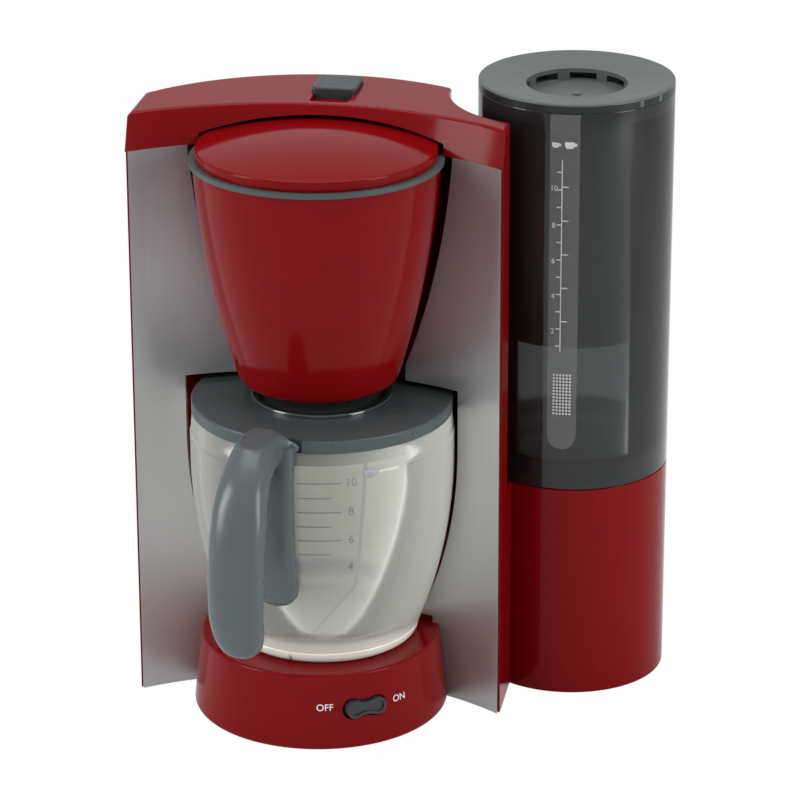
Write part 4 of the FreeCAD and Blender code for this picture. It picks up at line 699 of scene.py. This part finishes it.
# Reach from the jug's axis, height, lean of its outer face in degrees, half width, half thickness
# and shift to the left, in mm, from the root in the lid's notch to the rounded foot.
handle_sections = (
    (40.6, 106.6, 0, 8.6, 2.0, -0.2), (42.2, 106.6, 0, 8.6, 3.0, -0.1), (43.8, 106.7, 0, 7.4, 5.8, 0.8),
    (45.8, 106.8, 0, 7.1, 6.9, 1.4), (48.5, 106.8, 3, 7.0, 7.1, 1.6), (51.8, 106.5, 10, 7.1, 7.0, 1.5),
    (55.2, 105.7, 20, 7.3, 6.7, 1.3), (58.8, 104.3, 32, 7.5, 6.4, 1.0), (62.4, 102.1, 43, 7.8, 6.1, 0.7),
    (65.8, 99.2, 54, 8.2, 5.9, 0.4), (68.5, 95.3, 64, 8.6, 5.8, 0.2), (70.3, 91.0, 70, 8.9, 5.75, 0.0),
    (71.9, 85.3, 75, 9.0, 5.75, 0.0), (72.9, 79.0, 80, 9.0, 5.75, 0.0), (73.5, 72.5, 86, 9.0, 5.75, 0.0),
    (73.6, 66.0, 92, 8.95, 5.75, 0.0), (73.4, 60.0, 97, 8.8, 5.7, 0.0), (72.7, 54.8, 101, 8.3, 5.5, -0.3),
    (72.2, 51.6, 103, 7.5, 5.1, -0.6), (71.9, 49.2, 104, 6.2, 4.4, -0.9), (71.7, 47.6, 104, 4.2, 3.1, -1.1),
    (71.6, 46.9, 104, 2.0, 1.5, -1.2), (71.6, 46.75, 104, 0.3, 0.2, -1.2))


def smooth_between(rows, steps):
    """More rows between the given ones, on a smooth curve through them."""
    result = []
    for index in range(len(rows) - 1):
        before, start = rows[max(index - 1, 0)], rows[index]
        end, after = rows[index + 1], rows[min(index + 2, len(rows) - 1)]
        for step in range(steps):
            t = step / steps
            result.append([0.5 * (2 * b + (c - a) * t + (2 * a - 5 * b + 4 * c - d) * t * t
                                  + (3 * b - a - 3 * c + d) * t * t * t)
                           for a, b, c, d in zip(before, start, end, after)])
    result.append(list(rows[-1]))
    return result


def closed_tube(shape, rings):
    """Faces between rings of corners, with both ends closed."""
    for ring, following in zip(rings, rings[1:]):
        for index in range(len(ring)):
            after = (index + 1) % len(ring)
            shape.faces.new((ring[index], ring[after], following[after], following[index]))
    shape.faces.new(rings[0])
    shape.faces.new(rings[-1])


def handle_point(reach, up, side):
    """A place on the handle: reach from the jug's axis, height and sideways, in mm."""
    return (jug_middle + handle_out * reach + handle_side * side + Vector((0, 0, up))) * MM


def rounded_square(turn, power):
    """Sideways and outward shares of a ring between a circle and a square, at an angle."""
    return [abs(share) ** power * (1 if share > 0 else -1) for share in (cos(turn), sin(turn))]


shape = bmesh.new()
around, soft_corner = 96, 0.88
rib_tall, rib_from_reach, rib_from_half = 0.30, 47, 5
flat_height, flat_slope, flat_start, flat_end = 112.3, 0.10, 50, 60
rings = []
for reach, up, lean, half_wide, half_thick, left in smooth_between(handle_sections, 7):
    lean = radians(lean)
    ring = []
    for index in range(around):
        sideways, outward = rounded_square(2 * pi * index / around, soft_corner)
        on_parting = index % (around // 2) in (0, 1, around // 2 - 1)
        ribbed = on_parting and half_wide > rib_from_half and reach > rib_from_reach
        across = sideways * (half_wide + (rib_tall if ribbed else 0.0))
        out = outward * half_thick
        place_out, place_up = reach + out * sin(lean), up + out * cos(lean)
        if place_out < flat_end:
            place_up = min(place_up, flat_height - flat_slope * (place_out - flat_start))
        ring.append(shape.verts.new(handle_point(place_out, place_up, across - left)))
    rings.append(ring)
closed_tube(shape, rings)
leg_foot, leg_top, leg_half, leg_thick, leg_gap = 50.6, 107.6, 8.0, 4.6, 0.15
round_end, thin_end, thinned_for, square_corner = 7.6, 0.55, 5.0, 0.5
leg_steps, leg_around = 40, 48
rings = []
for step in range(leg_steps + 1):
    up = leg_foot + (leg_top - leg_foot) * (step / leg_steps) ** 1.5
    half = leg_half * sqrt(max(1 - max(leg_foot + round_end - up, 0.0) ** 2 / round_end ** 2, 0.0004))
    wall = (min(jug_wall_at(up), jug_radius) if up > jug_shoulder else jug_wall_at(up)) + leg_gap
    thick = leg_thick * min(1.0, thin_end + (up - leg_foot) / thinned_for)
    corners = []
    for index in range(leg_around):
        sideways, outward = rounded_square(2 * pi * index / leg_around, square_corner)
        side, depth = sideways * half, outward * 0.5 + 0.5
        reach = sqrt(max(wall * wall - side * side, 1.0)) + depth * thick
        corners.append(shape.verts.new(handle_point(reach, up, side)))
    rings.append(corners)
closed_tube(shape, rings)
bmesh.ops.recalc_face_normals(shape, faces=shape.faces)
handle_mesh = bpy.data.meshes.new("handle_moulding")
shape.to_mesh(handle_mesh)
shape.free()
handle_grey = moulded_plastic("handle_grey", (0.080, 0.097, 0.102), (0.068, 0.084, 0.089), 0.26, 0.0, 0.4)
add_piece("handle_moulding", handle_mesh, handle_grey, "jug", "grey_plastic", "jug_handle", sharp=50)


# Tank: a smoke-grey clear cylinder with a dark vessel inside it, and a dished lid on top. Its
# bottom is thick and looks darker, a band just under its lid is darkened as painted shade, and a
# lighter strip with a scale runs up its front.

tank_axis = (77.5, 46.9)
tank_foot = 74.1
tank_rim = tank_foot + 129.0
tank_radius, tank_inside = 32.0, 30.0
smoke_clear, tree, mix, body, place = clear_plastic("smoke_clear", (0.60, 0.62, 0.62), 0.30, 0.06,
                                                    (0.036, 0.040, 0.039))
tank_height = add_node(tree, "SeparateXYZ", {"Vector": place}).outputs["Z"]
# Painted shade: a band of the wall just under the lid is made darker and more opaque.
painted_shade_under_lid = band_mask(tree, tank_height, 0.1985, 0.230, 0.0004)
thick_foot = add_node(tree, "MapRange", {"Value": tank_height, "From Min": 0.0845, "From Max": 0.0815})
darker = add_node(tree, "Math", {0: painted_shade_under_lid, 1: thick_foot.outputs[0]}, operation="MAXIMUM")
smoke = add_node(tree, "Mix", {"Factor": darker.outputs[0], "A": 0.26, "B": 0.86})
tree.links.new(smoke.outputs[0], mix.inputs[0])
smoke_tone = add_node(tree, "Mix", {"Factor": darker.outputs[0], "A": (0.028, 0.031, 0.030),
                                    "B": (0.009, 0.011, 0.012)}, data_type="RGBA")
tree.links.new(smoke_tone.outputs[2], body.inputs["Base Color"])
tank_skin = [
    (tank_inside, tank_foot, 0.3), (tank_radius, tank_foot, 0.5), (tank_radius, tank_rim, 0.4),
    (tank_inside, tank_rim, 0.4), (tank_inside, tank_foot + 9.0, 0.8), (0.0, tank_foot + 9.0, 0),
    (0.0, tank_foot + 6.0, 0), (tank_inside, tank_foot + 6.0, 0.5)]
tank_mesh = turned("tank_wall", tank_skin, tank_axis, fine_turns)
add_piece("tank_wall", tank_mesh, smoke_clear, "tank", "smoke_clear", "tank_cylinder")
vessel_foot, vessel_wall = tank_rim - 81.0, 1.4
vessel_radius, vessel_inside, vessel_lip = 28.4, 27.0, 29.9
vessel_skin = [
    (0.0, vessel_foot, 0), (vessel_radius, vessel_foot, 1.2), (vessel_radius, tank_rim - vessel_wall, 0.2),
    (vessel_lip, tank_rim - vessel_wall, 0.2), (vessel_lip, tank_rim, 0.2), (vessel_inside, tank_rim, 0.2),
    (vessel_inside, vessel_foot + vessel_wall, 1.0), (0.0, vessel_foot + vessel_wall, 0)]
vessel_plastic = clear_plastic("vessel_plastic", (0.80, 0.82, 0.81), 0.30, 0.2, (0.060, 0.066, 0.064))[0]
vessel_mesh = turned("tank_vessel", vessel_skin, tank_axis)
add_piece("tank_vessel", vessel_mesh, vessel_plastic, "tank", "black_plastic", "tank_inner_vessel")

# Tank strip and scale: a lighter strip inlaid up the front of the tank, with a printed line, its
# marks at both sides and a field of small dots below them, laid out by geometry nodes.

def tank_wall_at(up):
    """Radius of the tank's upright outer wall, in mm, which is the same at every height."""
    return tank_radius


def strip_patch(wide, low, high, steps=14):
    """A flat strip in mm with a round lower end, cut in narrow slices so that it bends well."""
    shape = bmesh.new()
    half, film_half = wide / 2, 0.02
    straight = low + 0.01
    columns = []
    for step in range(steps + 1):
        across = -half + wide * step / steps
        foot = low - sqrt(max(half * half - across * across, 0.0))
        corners = [(foot, film_half), (straight, film_half), (high, film_half),
                   (high, -film_half), (straight, -film_half), (foot, -film_half)]
        columns.append([shape.verts.new((across, up, depth)) for up, depth in corners])
    for left, right in zip(columns, columns[1:]):
        for index in range(len(left)):
            after = (index + 1) % len(left)
            shape.faces.new((left[index], right[index], right[after], left[after]))
    for column in (columns[0], columns[-1]):
        shape.faces.new((column[0], column[1], column[4], column[5]))
        shape.faces.new((column[1], column[2], column[3], column[4]))
    mesh = bpy.data.meshes.new("strip")
    shape.to_mesh(mesh)
    shape.free()
    return mesh


strip_film = clear_plastic("strip_film", (0.90, 0.90, 0.90), 0.11, 0.12, (0.36, 0.37, 0.37))[0]
strip_place, strip_wide = radians(0.8), 9.6
strip_low, strip_mid, strip_high = 93.4, 150.0, 202.6
strip = strip_patch(strip_wide, strip_low - strip_mid, strip_high - strip_mid)
strip = wrapped(strip, tank_axis, tank_wall_at, strip_place, strip_mid)
add_piece("tank_strip", strip, strip_film, "tank", "smoke_clear")
tank_ink = printed_ink("tank_ink", (0.58, 0.59, 0.58))
line_place, ink_lift = radians(-0.6), 0.09


def tank_print(name, flat, across, height):
    """A flat mesh in mm printed on the strip, shifted sideways from the scale's line."""
    mesh = wrapped(shifted(flat, across), tank_axis, tank_wall_at, line_place, height, ink_lift)
    add_piece(name, mesh, tank_ink, "tank", "smoke_clear")


# Columns, rows, the steps between them, a mark's width and height, and the first row's shift to the
# side and height.
scale_marks = (
    ("tank_line", 1, 1, 1.0, 1.0, 0.32, 65.0, -0.16, 155.0),
    ("tank_marks_left", 1, 11, 1.0, 5.9, 1.6, 0.36, -1.6, 124.5),
    ("tank_marks_right", 1, 5, 1.0, 11.4, 2.0, 0.36, 0.15, 133.0),
    ("tank_dots", 6, 13, 1.05, 1.12, 0.66, 0.66, -2.2, 101.0))
for name, columns, rows, column_step, row_step, wide, tall, across, height in scale_marks:
    tank_print(name, mark_rows(name, columns, rows, column_step, row_step, wide, tall), across, height)
for number, height in (("10", 178.0), ("8", 165.5), ("6", 153.5), ("4", 141.5), ("2", 129.5)):
    tank_print("tank_number_" + number, flat_words(number, 1.8), -2.6, height)
for name, wide, across in (("tank_cup_mark_small", 2.6, -2.2), ("tank_cup_mark_large", 3.4, 2.4)):
    tank_print(name, cup_mark(wide), across, 192.3)

# Tank lid: a satin grey disc, a little dished, with a well in its middle. The well's wall is
# open between short posts, and a small round mark stands on its floor.

lid_plastic = moulded_plastic("lid_grey", (0.094, 0.106, 0.100), (0.080, 0.092, 0.086), 0.36, 0.04)
tank_lid = moulding("tank_lid", lid_plastic, "tank_lid", "grey_plastic", 0.0004)
# Painted shade: the lower part of the lid's outer side is given a near black material.
painted_shade_lid_side = moulded_plastic("painted_shade_lid_side", (0.012, 0.016, 0.017), (0.010, 0.013, 0.014), 0.30, 0.0)
tank_lid.data.materials.append(painted_shade_lid_side)
lid_highest, side_highest = tank_rim * MM + 0.003, tank_rim * MM + 0.0014
side_from, side_upright = 0.0300, 0.5
for corner in tank_lid.data.vertices:
    corner.co.z = min(corner.co.z, lid_highest)
for face in tank_lid.data.polygons:
    reach = (face.center.xy - Vector(tank_axis) * MM).length
    if face.center.z < side_highest and abs(face.normal.z) < side_upright and reach > side_from:
        face.material_index = 1
